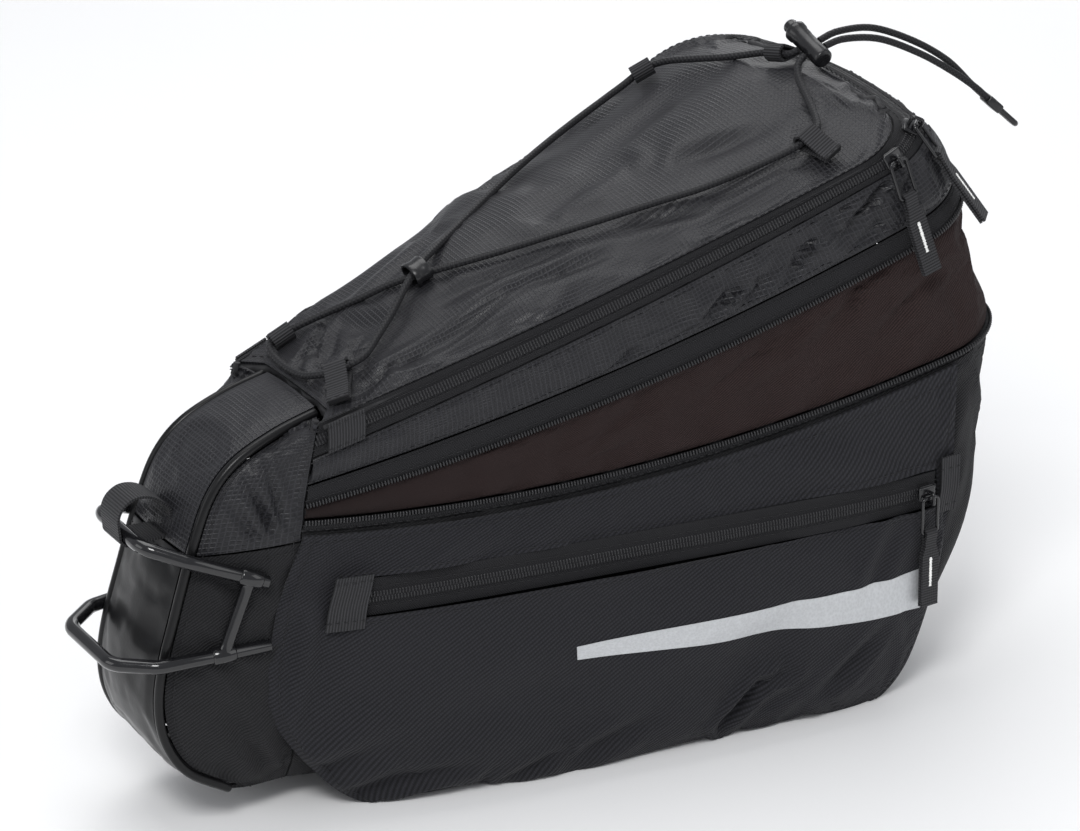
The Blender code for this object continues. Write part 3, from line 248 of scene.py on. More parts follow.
# Rings above it: z at the side seam in FRONT_HEIGHT, z at the rear in REAR_HEIGHT, sag in FRONT_HEIGHT,
# rear in BODY_LENGTH, share of WALL_LEAN
UPPER_RINGS = {
    "zip_foot": (0.738, 0.580, 0.104, 1.0, 0.0),
    "zip_head": (0.770, 0.592, 0.098, 1.0, 0.02),
    "gusset_top": (0.797, 0.814, 0.084, 0.960, 0.15),
    "band_foot": (0.846, 0.848, 0.066, 0.953, 0.2),
    "band_head": (0.907, 0.955, 0.046, 0.917, 0.2),
    "lid_edge": (0.990, 0.985, 0.036, 0.878, 0.2),
}
SEAM_FOOT, SEAM_MIDDLE, SEAM_HEAD = 0.71, 0.79, 0.905
# Pocket rows: z at its front and rear in FRONT_HEIGHT, front edge in LID_FRONT, share of POCKET_DEPTH,
# rear edge in BODY_LENGTH
POCKET_ROWS = (
    (0.022, 0.010, 1.20, -0.72, 0.81),
    (0.000, 0.000, 1.11, 0.45, 0.84),
    (0.085, 0.100, 0.87, 0.82, 0.880),
    (0.300, 0.330, 0.58, 1.00, 0.912),
    (0.525, 0.525, 0.62, 0.66, 0.922),
    (0.620, 0.622, 0.68, 0.48, 0.925),
    (0.738, 0.900, 0.79, 0.06, 0.925),
)
POCKET_ZIP_ROWS = (4, 5)
POCKET_SAG = 0.0014
POCKET_ZIP_SPAN = (0.075, 0.972)

# Creases of each panel: start and end over the bag's side as x and z (x and y on the lid),
# then width and depth, all in millimetres. A negative depth is a ridge.
CREASES = {
    "pocket": (
        (252, 8, 268, 26, 7, 2.6), (268, 26, 282, 30, 6, 1.2), (60, 14, 96, 34, 12, 1.4),
        (76, 6, 130, 16, 9, 1.4),
        (180, 8, 214, 22, 10, 1.3), (300, 16, 330, 40, 9, 1.6), (54, 60, 60, 100, 9, 0.9),
        (150, 4, 176, 14, 7, 1.0),
        (110, 40, 190, 50, 22, 0.9), (210, 30, 300, 60, 24, 0.8), (318, 60, 338, 92, 9, 1.0),
    ),
    "lid": (
        (86, -26, 112, -8, 5, 1.5), (88, -20, 118, -16, 4, 1.3), (86, -8, 110, 6, 5, 1.3),
        (88, 6, 116, 20, 5, 1.2),
        (96, -30, 128, -34, 5, 1.4), (120, -34, 176, -36, 6, 1.1), (150, -18, 200, -30, 7, 1.2),
        (176, -34, 214, -44, 6, 1.2), (226, -36, 258, -52, 7, 1.3), (262, -50, 306, -56, 6, 1.0),
        (206, 0, 250, 6, 14, 1.0), (270, -20, 300, -30, 10, 1.0), (130, 12, 176, 26, 9, 1.1),
        (300, -62, 318, -40, 6, 0.9), (96, 0, 104, 14, 4, 0.8), (240, 20, 300, 34, 14, 0.9),
    ),
    "upper_band": (
        (110, 158, 120, 170, 5, 1.0), (150, 166, 170, 172, 5, 1.1), (196, 176, 218, 192, 6, 1.5),
        (206, 188, 236, 196, 5, 1.1), (222, 184, 244, 200, 6, 1.4), (244, 196, 262, 214, 6, 1.6),
        (262, 200, 280, 220, 6, 1.4), (286, 216, 300, 232, 5, 1.1), (312, 230, 330, 250, 6, 1.5),
        (326, 240, 338, 262, 6, 1.4), (130, 158, 150, 164, 4, 0.9), (170, 170, 196, 182, 5, -0.7),
    ),
    "gusset": (
        (120, 146, 170, 150, 8, 0.7), (180, 150, 240, 176, 10, 0.9), (240, 160, 300, 200, 12, 0.9),
        (300, 180, 340, 226, 10, 1.0), (330, 182, 356, 204, 8, 0.9),
    ),
    "side_front": (
        (38, 152, 50, 128, 4, 0.9), (46, 160, 56, 132, 4, 1.1), (54, 166, 60, 138, 4, 0.8),
        (30, 60, 44, 30, 8, 1.0),
        (20, 96, 40, 70, 7, 0.8), (28, 122, 46, 104, 6, 0.9), (40, 40, 52, 20, 6, 0.9),
    ),
    "body_wall": (
        (330, 40, 352, 96, 9, 1.3), (350, 60, 372, 110, 8, 1.1), (338, 20, 352, 50, 7, 1.1),
        (360, 110, 374, 150, 8, 0.9),
    ),
}

# Studio: the camera's place, lens, tilt and turn, and each light's place, aim, size and power
CAMERA_PLACE = (-0.8011, -1.3064, 0.8580)
CAMERA_LENS = 127.5
CAMERA_TILT, CAMERA_TURN = radians(65), radians(-32)
AIR_COLOUR, AIR_LIGHT = (0.93, 0.95, 1.0, 1), 0.42
FLOOR_REACH = 6
LIGHTS = (
    ("key", (-0.9, -1.0, 1.7), (0, 0, 0.12), 0.6, 17),
    ("fill", (1.3, -1.4, 1.1), (0.05, 0, 0.15), 1.2, 5),
    ("top", (0.1, 0.6, 1.9), (0, 0, 0.15), 1.3, 14),
    ("back", (1.2, 1.3, 1.0), (0, 0, 0.15), 1.0, 5),
    ("front", (-1.6, 0.2, 0.7), (-0.15, 0, 0.1), 0.8, 3),
)


# Colours and finishes

def linear(code):
    """The linear colour of an sRGB hex value."""
    parts = [int(code[k:k + 2], 16) / 255 for k in (0, 2, 4)]
    return tuple(c / 12.92 if c <= 0.04045 else ((c + 0.055) / 1.055) ** 2.4 for c in parts)


# Each colour's name, what it is for and its sRGB value
COLOURS = {
    "twill": ("Twill", "Cloth of the walls", "1f1f21"),
    "pocket_twill": ("Pocket twill", "Coarse cloth of the pockets", "222226"),
    "ripstop": ("Ripstop", "Cloth of the lid and the band under it", "222225"),
    "satin": ("Coated cloth", "Cloth of the front band", "131314"),
    "maroon": ("Gusset twill", "Cloth of the gusset", "2b1f1e"),
    "tape": ("Zip tape", "Tapes of the zips", "1d1d1f"),
    "webbing": ("Webbing", "Tabs, loops and pulls", "29292b"),
    "cord": ("Cord", "Sheath of the bungee", "1c1c1f"),
    "metal": ("Enamel", "Sliders and wire frame", "121214"),
    "plastic": ("Plastic", "Cord lock and clip", "161618"),
    "reflective": ("Reflective tape", "Strips on the pockets", "c6c8ca"),
    "white_thread": ("White thread", "Bar tacks on the pulls", "e6e6e4"),
    "floor": ("Floor", "Studio floor", "ffffff"),
}


class BagColours(bpy.types.PropertyGroup):
    """The colours that a maker of this bag chooses."""
    __annotations__ = {
        key: bpy.props.FloatVectorProperty(name=name, description=text, subtype="COLOR", default=linear(code))
        for key, (name, text, code) in COLOURS.items()
    }


class BagSizes(bpy.types.PropertyGroup):
    """The sizes that change how the sewing looks."""
    stitch: bpy.props.FloatProperty(
        name="Stitch length", description="Length of one stitch", subtype="DISTANCE", default=0.0026)
    stitch_gap: bpy.props.FloatProperty(
        name="Stitch gap", description="Cloth between two stitches", subtype="DISTANCE", default=0.0010)
    thread: bpy.props.FloatProperty(
        name="Thread", description="Thickness of the sewing thread", subtype="DISTANCE", default=0.0005)
    tooth: bpy.props.FloatProperty(
        name="Tooth pitch", description="Length of chain for each tooth", subtype="DISTANCE", default=0.0014)
    crease: bpy.props.FloatProperty(
        name="Creases", description="How deep the creases are", subtype="FACTOR", default=2.0, min=0, max=2.5)
    slack: bpy.props.FloatProperty(
        name="Slack", description="Spare cloth in a panel", subtype="FACTOR", default=0.02, min=0, max=0.06)


def add(tree, kind, links=None, **settings):
    """Adds one node: settings are its own properties, and links gives its inputs sockets or values."""
    made = tree.nodes.new(kind)
    for key, value in settings.items():
        setattr(made, key, value)
    for key, value in (links or {}).items():
        if isinstance(value, bpy.types.NodeSocket):
            tree.links.new(value, made.inputs[key])
        else:
            made.inputs[key].default_value = value
    return made


def waves(length):
    """The Wave texture's scale for stripes this far apart."""
    return 2 * pi / 20 / length


def calculate(tree, operation, *values, **settings):
    """The result of one Math node."""
    return add(tree, "ShaderNodeMath", dict(enumerate(values)), operation=operation, **settings).outputs[0]


def speckle(tree, place, scale, detail=2):
    """Fine noise."""
    return add(tree, "ShaderNodeTexNoise", {"Vector": place, "Scale": scale, "Detail": detail}).outputs[0]


def stripes(tree, place, pitch, turn=0, direction="X", **inputs):
    """Stripes this far apart, turned by an angle in degrees."""
    if turn:
        turned_place = add(tree, "ShaderNodeMapping", {"Vector": place, "Rotation": (0, 0, radians(turn))})
        place = turned_place.outputs[0]
    return add(tree, "ShaderNodeTexWave", {"Vector": place, "Scale": waves(pitch), **inputs},
               bands_direction=direction).outputs[1]


def blend(tree, factor, first, second):
    """A mix of two colours, each a socket or a value."""
    first, second = (c if isinstance(c, bpy.types.NodeSocket) else (*c, 1) for c in (first, second))
    return add(tree, "ShaderNodeMix", {"Factor": factor, 6: first, 7: second}, data_type="RGBA").outputs[2]


def start_finish(name, colour, roughness, **sockets):
    """A material with its shader's own sockets set: returns it, its tree and its shader."""
    made = bpy.data.materials.new(f"bag_{name}")
    made.use_nodes = True
    tree = made.node_tree
    shader = tree.nodes["Principled BSDF"]
    shader.inputs["Base Color"].default_value = (*colour, 1)
    shader.inputs["Roughness"].default_value = roughness
    for key, value in sockets.items():
        shader.inputs[key.replace("_", " ").title().replace("Ior", "IOR")].default_value = value
    return made, tree, shader


def start_cloth(name, colour, roughness, **sockets):
    """The same for a woven finish: returns its tree, its shader and the cloth's own coordinates."""
    made, tree, shader = start_finish(name, colour, roughness, **sockets)
    return tree, shader, add(tree, "ShaderNodeUVMap", uv_map="cloth").outputs[0]


def shade_threads(tree, shader, colour, pattern, depth, place, painted_light_contrast, wear=0.25):
    """Gives the cloth its threads: the weave pattern with a painted highlight on the thread crowns and
    painted shade in the hollows, uneven dye and relief.
    """
    patches = add(tree, "ShaderNodeTexNoise", {"Vector": place, "Scale": 22, "Detail": 4, "Roughness": 0.6})
    # The weave is painted lighter on its crowns and darker in its hollows: a painted highlight and painted
    # shade, as strong as the contrast share.
    painted_shade_hollow, painted_highlight_crown = ([c * share for c in colour] for share in (1 - painted_light_contrast, 1 + painted_light_contrast))
    share = calculate(tree, "MULTIPLY", patches.outputs[0], wear)
    # Random lighter patches of wear, laid over the painted light and shade of the weave
    wear_and_painted_weave = blend(tree, share, blend(tree, pattern, painted_shade_hollow, painted_highlight_crown), [c * 1.7 + 0.004 for c in colour])
    tree.links.new(wear_and_painted_weave, shader.inputs["Base Color"])
    relief = add(tree, "ShaderNodeBump", {"Height": pattern, "Distance": depth, "Strength": 0.8})
    tree.links.new(relief.outputs[0], shader.inputs["Normal"])


def twill_finish(name, colour, pitch, roughness, sheen):
    """Polyester twill, woven with steep diagonal ribs that catch a dull sheen. The real ribs, 0.5 mm
    apart, are drawn wider so that they show."""
    tree, shader, place = start_cloth(name, colour, roughness, sheen_weight=sheen, sheen_roughness=0.5,
                                      specular_ior_level=0.25)
    ribs = stripes(tree, place, pitch, 58, Distortion=0.35, Detail=1)
    picks = stripes(tree, place, pitch * 0.8, -28)
    broken = calculate(tree, "MULTIPLY_ADD", picks, 0.45, 0.55)
    woven = calculate(tree, "MULTIPLY", ribs, broken)
    uneven = calculate(tree, "MULTIPLY_ADD", speckle(tree, place, 900), 0.5, -0.2)
    pattern = calculate(tree, "ADD", woven, uneven, use_clamp=True)
    shade_threads(tree, shader, colour, pattern, 0.0004, place, 0.75)


def ripstop_finish(name, colour):
    """Nylon ripstop: a thin plain weave with a grid of thicker threads every 2.1 mm, which shines a little
    where it is pulled over a crease."""
    tree, shader, place = start_cloth(name, colour, 0.36, sheen_weight=0.02, sheen_roughness=0.4,
                                      specular_ior_level=0.3)
    grid = [calculate(tree, "POWER", stripes(tree, place, 0.0021, 0, direction, Distortion=0.3), 6.0)
            for direction in ("X", "Y")]
    fine = calculate(tree, "MULTIPLY", speckle(tree, place, 1100), 0.45)
    pattern = calculate(tree, "ADD", calculate(tree, "MAXIMUM", *grid), fine, use_clamp=True)
    shade_threads(tree, shader, colour, pattern, 0.00025, place, 0.6)


def satin_finish(name, colour):
    """Polyester cloth coated on its face: smooth, with long soft highlights over a faint grain."""
    tree, shader, place = start_cloth(name, colour, 0.3, specular_ior_level=0.25, coat_weight=0.03,
                                      coat_roughness=0.3)
    shade_threads(tree, shader, colour, speckle(tree, place, 700, 3), 0.00005, place, 0.12, 0.15)


def tape_finish(name, colour):
    """Polyester zip tape, woven in a herringbone that turns every 1.8 mm across the tape."""
    tree, shader, place = start_cloth(name, colour, 0.72, sheen_weight=0.03, specular_ior_level=0.2)
    split = add(tree, "ShaderNodeSeparateXYZ", {0: place}).outputs
    zigzag = calculate(tree, "PINGPONG", split[1], 0.0018)
    slant = calculate(tree, "ADD", split[0], zigzag)
    along = add(tree, "ShaderNodeCombineXYZ", {0: slant}).outputs[0]
    shade_threads(tree, shader, colour, stripes(tree, along, 0.0011), 0.0002, place, 0.5)


def webbing_finish(name, colour):
    """Woven nylon webbing with crosswise ribs, each a weft thread 1.3 mm wide."""
    tree, shader, place = start_cloth(name, colour, 0.6, sheen_weight=0.04, specular_ior_level=0.25)
    fine = calculate(tree, "MULTIPLY", stripes(tree, place, 0.0007, 0, "Y"), 0.2)
    pattern = calculate(tree, "ADD", stripes(tree, place, 0.0013), fine, use_clamp=True)
    shade_threads(tree, shader, colour, pattern, 0.0004, place, 0.8)


def braid_finish(name, colour):
    """Braided polyester sheath of a bungee: strands cross both ways round the cord, 1.6 mm apart."""
    tree, shader, place = start_cloth(name, colour, 0.5, sheen_weight=0.04, specular_ior_level=0.3)
    pattern = calculate(tree, "MULTIPLY", *(stripes(tree, place, 0.0016, turn) for turn in (35, -35)))
    shade_threads(tree, shader, colour, pattern, 0.0003, place, 0.5)


def hard_finish(name, colour, roughness, speck, **sockets):
    """Enamelled steel, moulded acetal, nylon coil or thread: gloss that dust and handling make uneven."""
    made, tree, shader = start_finish(name, colour, roughness, **sockets)
    place = add(tree, "ShaderNodeTexCoord").outputs["Object"]
    dust = speckle(tree, place, 160, 4)
    uneven = add(tree, "ShaderNodeMapRange", {0: dust, 1: 0.35, 2: 0.75, 3: roughness * 0.75,
                                              4: roughness * 1.5}).outputs[0]
    tree.links.new(uneven, shader.inputs["Roughness"])
    tree.links.new(blend(tree, dust, colour, [c * 1.5 + 0.002 for c in colour]), shader.inputs["Base Color"])
    skin = speckle(tree, place, 2200)
    relief = add(tree, "ShaderNodeBump", {"Height": skin, "Distance": speck, "Strength": 0.5})
    tree.links.new(relief.outputs[0], shader.inputs["Normal"])


def reflective_finish(name, colour):
    """Retroreflective tape: glass beads under a film, silver grey with a fine grain of small cells."""
    tree, shader, place = start_cloth(name, colour, 0.42, metallic=0.25)
    beads = add(tree, "ShaderNodeTexVoronoi", {"Vector": place, "Scale": 900}).outputs[0]
    shade_threads(tree, shader, colour, beads, 0.00006, place, 0.10, 0.02)


def make_finishes(colours):
    """Every finish of the bag, each named for what the real one is."""
    twill_finish("twill", colours.twill, 0.0014, 0.8, 0.05)
    twill_finish("pocket_twill", colours.pocket_twill, 0.0016, 0.8, 0.06)
    ripstop_finish("ripstop", colours.ripstop)
    satin_finish("satin", colours.satin)
    twill_finish("maroon_twill", colours.maroon, 0.0012, 0.85, 0.015)
    tape_finish("zip_tape", colours.tape)
    webbing_finish("webbing", colours.webbing)
    braid_finish("braid", colours.cord)
    hard_finish("nylon_coil", colours.tape, 0.34, 0.00002)
    hard_finish("enamel", colours.metal, 0.2, 0.00001, coat_weight=0.2)
    hard_finish("rod_enamel", colours.metal, 0.13, 0.00001, coat_weight=0.3)
    hard_finish("acetal", colours.plastic, 0.27, 0.00002)
    reflective_finish("reflective_tape", colours.reflective)
    hard_finish("black_thread", colours.tape, 0.7, 0.00003)
    hard_finish("white_thread", colours.white_thread, 0.6, 0.00003)


# Shapes of the bag, in its own frame

def lerp(a, b, t):
    """The value this share of the way from a to b."""
    return a + (b - a) * t


def share_along(rows, t):
    """A smooth curve through a table's rows, read at t from 0 to 1."""
    spot = min(max(t, 0.0), 1.0) * (len(rows) - 1)
    i = min(int(spot), len(rows) - 2)
    f = spot - i
    p0, p1, p2, p3 = (rows[min(max(i + k, 0), len(rows) - 1)] for k in (-1, 0, 1, 2))
    return tuple(
        0.5 * (2 * b + (c - a) * f + (2 * a - 5 * b + 4 * c - d) * f * f + (3 * b - a - 3 * c + d) * f ** 3)
        for a, b, c, d in zip(p0, p1, p2, p3)
    )


def flank(x):
    """Half the bag's width at x, on its widest level."""
    return BAND_WIDTH / 2 + x * tan(FLARE)


def base_height(x):
    """The height of the base over x: it rises towards the front."""
    return BASE_LIFT + BASE_FRONT_RISE * max(0.0, 1 - x / (BODY_LENGTH * BASE_FLAT))


def line_height(name, x):
    """The height of a level line over x."""
    seam, rear, sag = UPPER_RINGS[name][:3]
    start = LID_FRONT * SEAM_MIDDLE
    s = (x - start) / (BODY_LENGTH - start)
    return lerp(seam * FRONT_HEIGHT, rear * REAR_HEIGHT, s) - sag * FRONT_HEIGHT * 4 * s * (1 - s)


def side_seam_x(z):
    """Where the side seam is at this height."""
    share = z / FRONT_HEIGHT
    middle, head = UPPER_RINGS["zip_foot"][0], UPPER_RINGS["lid_edge"][0]
    if share < middle:
        return LID_FRONT * lerp(SEAM_FOOT, SEAM_MIDDLE, share / middle)
    return LID_FRONT * lerp(SEAM_MIDDLE, SEAM_HEAD, (share - middle) / (head - middle))


def lower_ring(row):
    """A ring of the lower wall: its height over x, its side seam, rear and lean."""
    share, rear, lean = row
    seam = side_seam_x(lerp(base_height(0), UPPER_RINGS["zip_foot"][0] * FRONT_HEIGHT, share))
    return lambda x: lerp(base_height(x), line_height("zip_foot", x), share), seam, rear * BODY_LENGTH, lean


def upper_ring(name):
    """A ring above the lower wall, given as lower_ring gives its own."""
    level, rear, lean = (UPPER_RINGS[name][k] for k in (0, 3, 4))
    return lambda x: line_height(name, x), side_seam_x(level * FRONT_HEIGHT), rear * BODY_LENGTH, lean


def ring_spot(ring, v):
    """A ring's point: v runs from 0 at the left side seam round the rear to 1 at the right one."""
    height, seam_x, rear_x, lean = ring
    steps = v * 2 * HALF_STEPS
    side = -1 if steps < HALF_STEPS else 1
    k = min(steps, 2 * HALF_STEPS - steps)
    start = rear_x - REAR_CORNER * (1 + sin(FLARE))
    turn = Vector((-sin(FLARE), cos(FLARE)))
    centre = Vector((start, flank(start) - lean * WALL_LEAN)) - turn * REAR_CORNER
    if k <= FLANK_STEPS:
        x = lerp(seam_x, start, k / FLANK_STEPS)
        x, y, arm = x, flank(x) - lean * WALL_LEAN, turn
    elif k <= FLANK_STEPS + CORNER_STEPS:
        angle = (pi / 2 + FLARE) * (1 - (k - FLANK_STEPS) / CORNER_STEPS)
        arm = Vector((cos(angle), sin(angle)))
        x, y = centre + arm * REAR_CORNER
    else:
        y = centre.y * (1 - (k - FLANK_STEPS - CORNER_STEPS) / REAR_STEPS)
        x = centre.x + REAR_CORNER + REAR_BULGE * (1 - (y / centre.y) ** 2)
        arm = Vector((1, 2 * REAR_BULGE * y / centre.y ** 2)).normalized()
    return Vector((x, side * y, height(x))), Vector((arm.x, side * arm.y, 0.0))


def between(low, high, u, v, puff):
    """A point between two rings, u of the way up, kept off all the seams and raised by puff."""
    (a, n), (b, m) = ring_spot(low, v), ring_spot(high, v)
    trim = min(SEAM / (b - a).length, MOST_TRIM)
    spot = a.lerp(b, lerp(trim, 1 - trim, u)) + n.lerp(m, u) * puff
    return spot + Vector((SEAM * (v in (0.0, 1.0)), 0, 0))


def band_point(t, inset=0.0):
    """A point on the front band's side profile, t from its foot to the lid, moved in by inset."""
    a = Vector(share_along(BAND_PROFILE, t - 0.01))
    b = Vector(share_along(BAND_PROFILE, t + 0.01))
    here = Vector(share_along(BAND_PROFILE, t))
    scale = Vector((LID_FRONT, FRONT_HEIGHT))
    run = ((b - a) * scale).normalized()
    spot = here * scale + Vector((run.y, -run.x)) * inset
    return Vector((spot.x, 0, spot.y)), Vector((-run.y, 0, run.x))


def band_share_at(z):
    """The front band's share at this height."""
    low, high = 0.0, 1.0
    for _ in range(30):
        middle = (low + high) / 2
        if band_point(middle)[0].z < z:
            low = middle
        else:
            high = middle
    return low


def band_half(t):
    """Half the front band's width, which narrows towards the lid."""
    return BAND_WIDTH / 2 + lerp(BAND_TAPER / 2, -BAND_TAPER / 2, t)


def side_foot():
    """The side panel's lower front corner."""
    spot, turn = band_point(0.0, PIPING)
    down = Vector((-turn.z, 0, turn.x))
    slope = BASE_FRONT_RISE / (BODY_LENGTH * BASE_FLAT)
    back = (spot.z - base_height(spot.x)) / (-down.z - slope * down.x)
    return spot + down * back + Vector((0, band_half(0.0), 0))


def side_seam():
    """The right side seam's points, one on each ring, from the foot up."""
    rings = [lower_ring(row) for row in LOWER_RINGS] + [upper_ring(name) for name in UPPER_RINGS]
    return [ring_spot(ring, 1.0)[0] for ring in rings]


def point_at_height(line, z):
    """The point at this height on a line that rises."""
    for a, b in zip(line, line[1:]):
        if z < b.z:
            break
    return a.lerp(b, (z - a.z) / (b.z - a.z))


def side_front_point(t, s, side, seam):
    """The panel between the piping, at s = 0, and the side seam, with t the band's share."""
    foot, head = band_point(0.0)[0].z, band_point(1.0)[0].z
    front = band_point(t, PIPING)[0]
    front.y = band_half(t) + CLOTH / 3
    corner = side_foot() + Vector((0, 0, SEAM))
    front = front.lerp(corner, max(0.0, 1 - t / 0.035))
    up = (band_point(t)[0].z - foot) / (head - foot)
    rear = point_at_height(seam, lerp(seam[0].z + SEAM, seam[-1].z - SEAM, up)) - Vector((SEAM, 0, 0))
    puff = 0.0016 * (1 - (2 * s - 1) ** 2) * min(1.0, 6 * t)
    return (front.lerp(rear, s) + Vector((0, puff, 0))) * Vector((1, side, 1))


def lid_point(u, c):
    """The lid's outside: u from its front seam to its rear edge, c from its left edge to its right."""
    ring = upper_ring("lid_edge")
    count = FLANK_STEPS + CORNER_STEPS
    spot = u * count
    left = ring_spot(ring, spot / (2 * HALF_STEPS))[0]
    if spot < 1:
        first, second = (ring_spot(ring, k / (2 * HALF_STEPS))[0] for k in (0, 1))
        left = Vector((LID_FRONT + 0.0015, 0, FRONT_HEIGHT)).lerp(second, spot)
        left.y = lerp(first.y, second.y, spot)
        left.x += (first.x - LID_FRONT) * (1 - spot) * max(0.0, (abs(c) - 0.75) / 0.25)
    half = -left.y - SEAM
    painted_highlight_crown = LID_CROWN * (1 - abs(c) ** 2.6) * min(1.0, 0.1 + 4.0 * u) * (1 - 0.8 * u ** 3)
    rear = REAR_BULGE * (1 - c * c) * u ** 8
    return Vector((left.x + rear - SEAM * u, half * c, left.z + painted_highlight_crown + SEAM * 0.3))


def lid_height(x, y):
    """The height of the lid's outside over x and y."""
    low, high = 0.0, 1.0
    for _ in range(20):
        u = (low + high) / 2
        c = min(max(y / lid_point(u, 1.0).y, -1.0), 1.0)
        spot = lid_point(u, c)
        if spot.x < x:
            low = u
        else:
            high = u
    return spot.z


def over_lid(x, y, lift):
    """A point this far above the lid, for an x and y of the drawn bag."""
    x *= BODY_LENGTH / DRAWN_LENGTH
    return Vector((x, y, lid_height(x, y) + lift))


def pocket_point(t, s):
    """A point of the right pocket: t from its tucked foot to its top, s from its front edge to its rear."""
    front_z, rear_z, front_x, depth, rear_x = share_along(POCKET_ROWS, t)
    x = lerp(front_x * LID_FRONT, rear_x * BODY_LENGTH, s)
    z = max(0.0, lerp(front_z, rear_z, s) * FRONT_HEIGHT - POCKET_SAG)
    top = (len(POCKET_ROWS) - 2) / (len(POCKET_ROWS) - 1)
    if t > top:
        head = line_height("zip_foot", x) - 2 * SEAM
        below = share_along(POCKET_ROWS, top)
        z = lerp(lerp(below[0], below[1], s) * FRONT_HEIGHT - POCKET_SAG, head, (t - top) / (1 - top))
    swell = max(0.0, 1 - abs(2 * s - 1) ** 4) if depth > 0 else 1.0
    return Vector((x, flank(x) + CLOTH + 2 * GAP + depth * swell * POCKET_DEPTH, z))


# Cloth on a grid

def walked(points):
    """The way from the first point to each one along a line."""
    return np.concatenate([[0], np.cumsum(np.linalg.norm(np.diff(points, axis=0), axis=1))])


def from_middle(p):
    """Out from the upright line through the bag's middle."""
    return p - Vector((MIDDLE_X, 0, p.z))


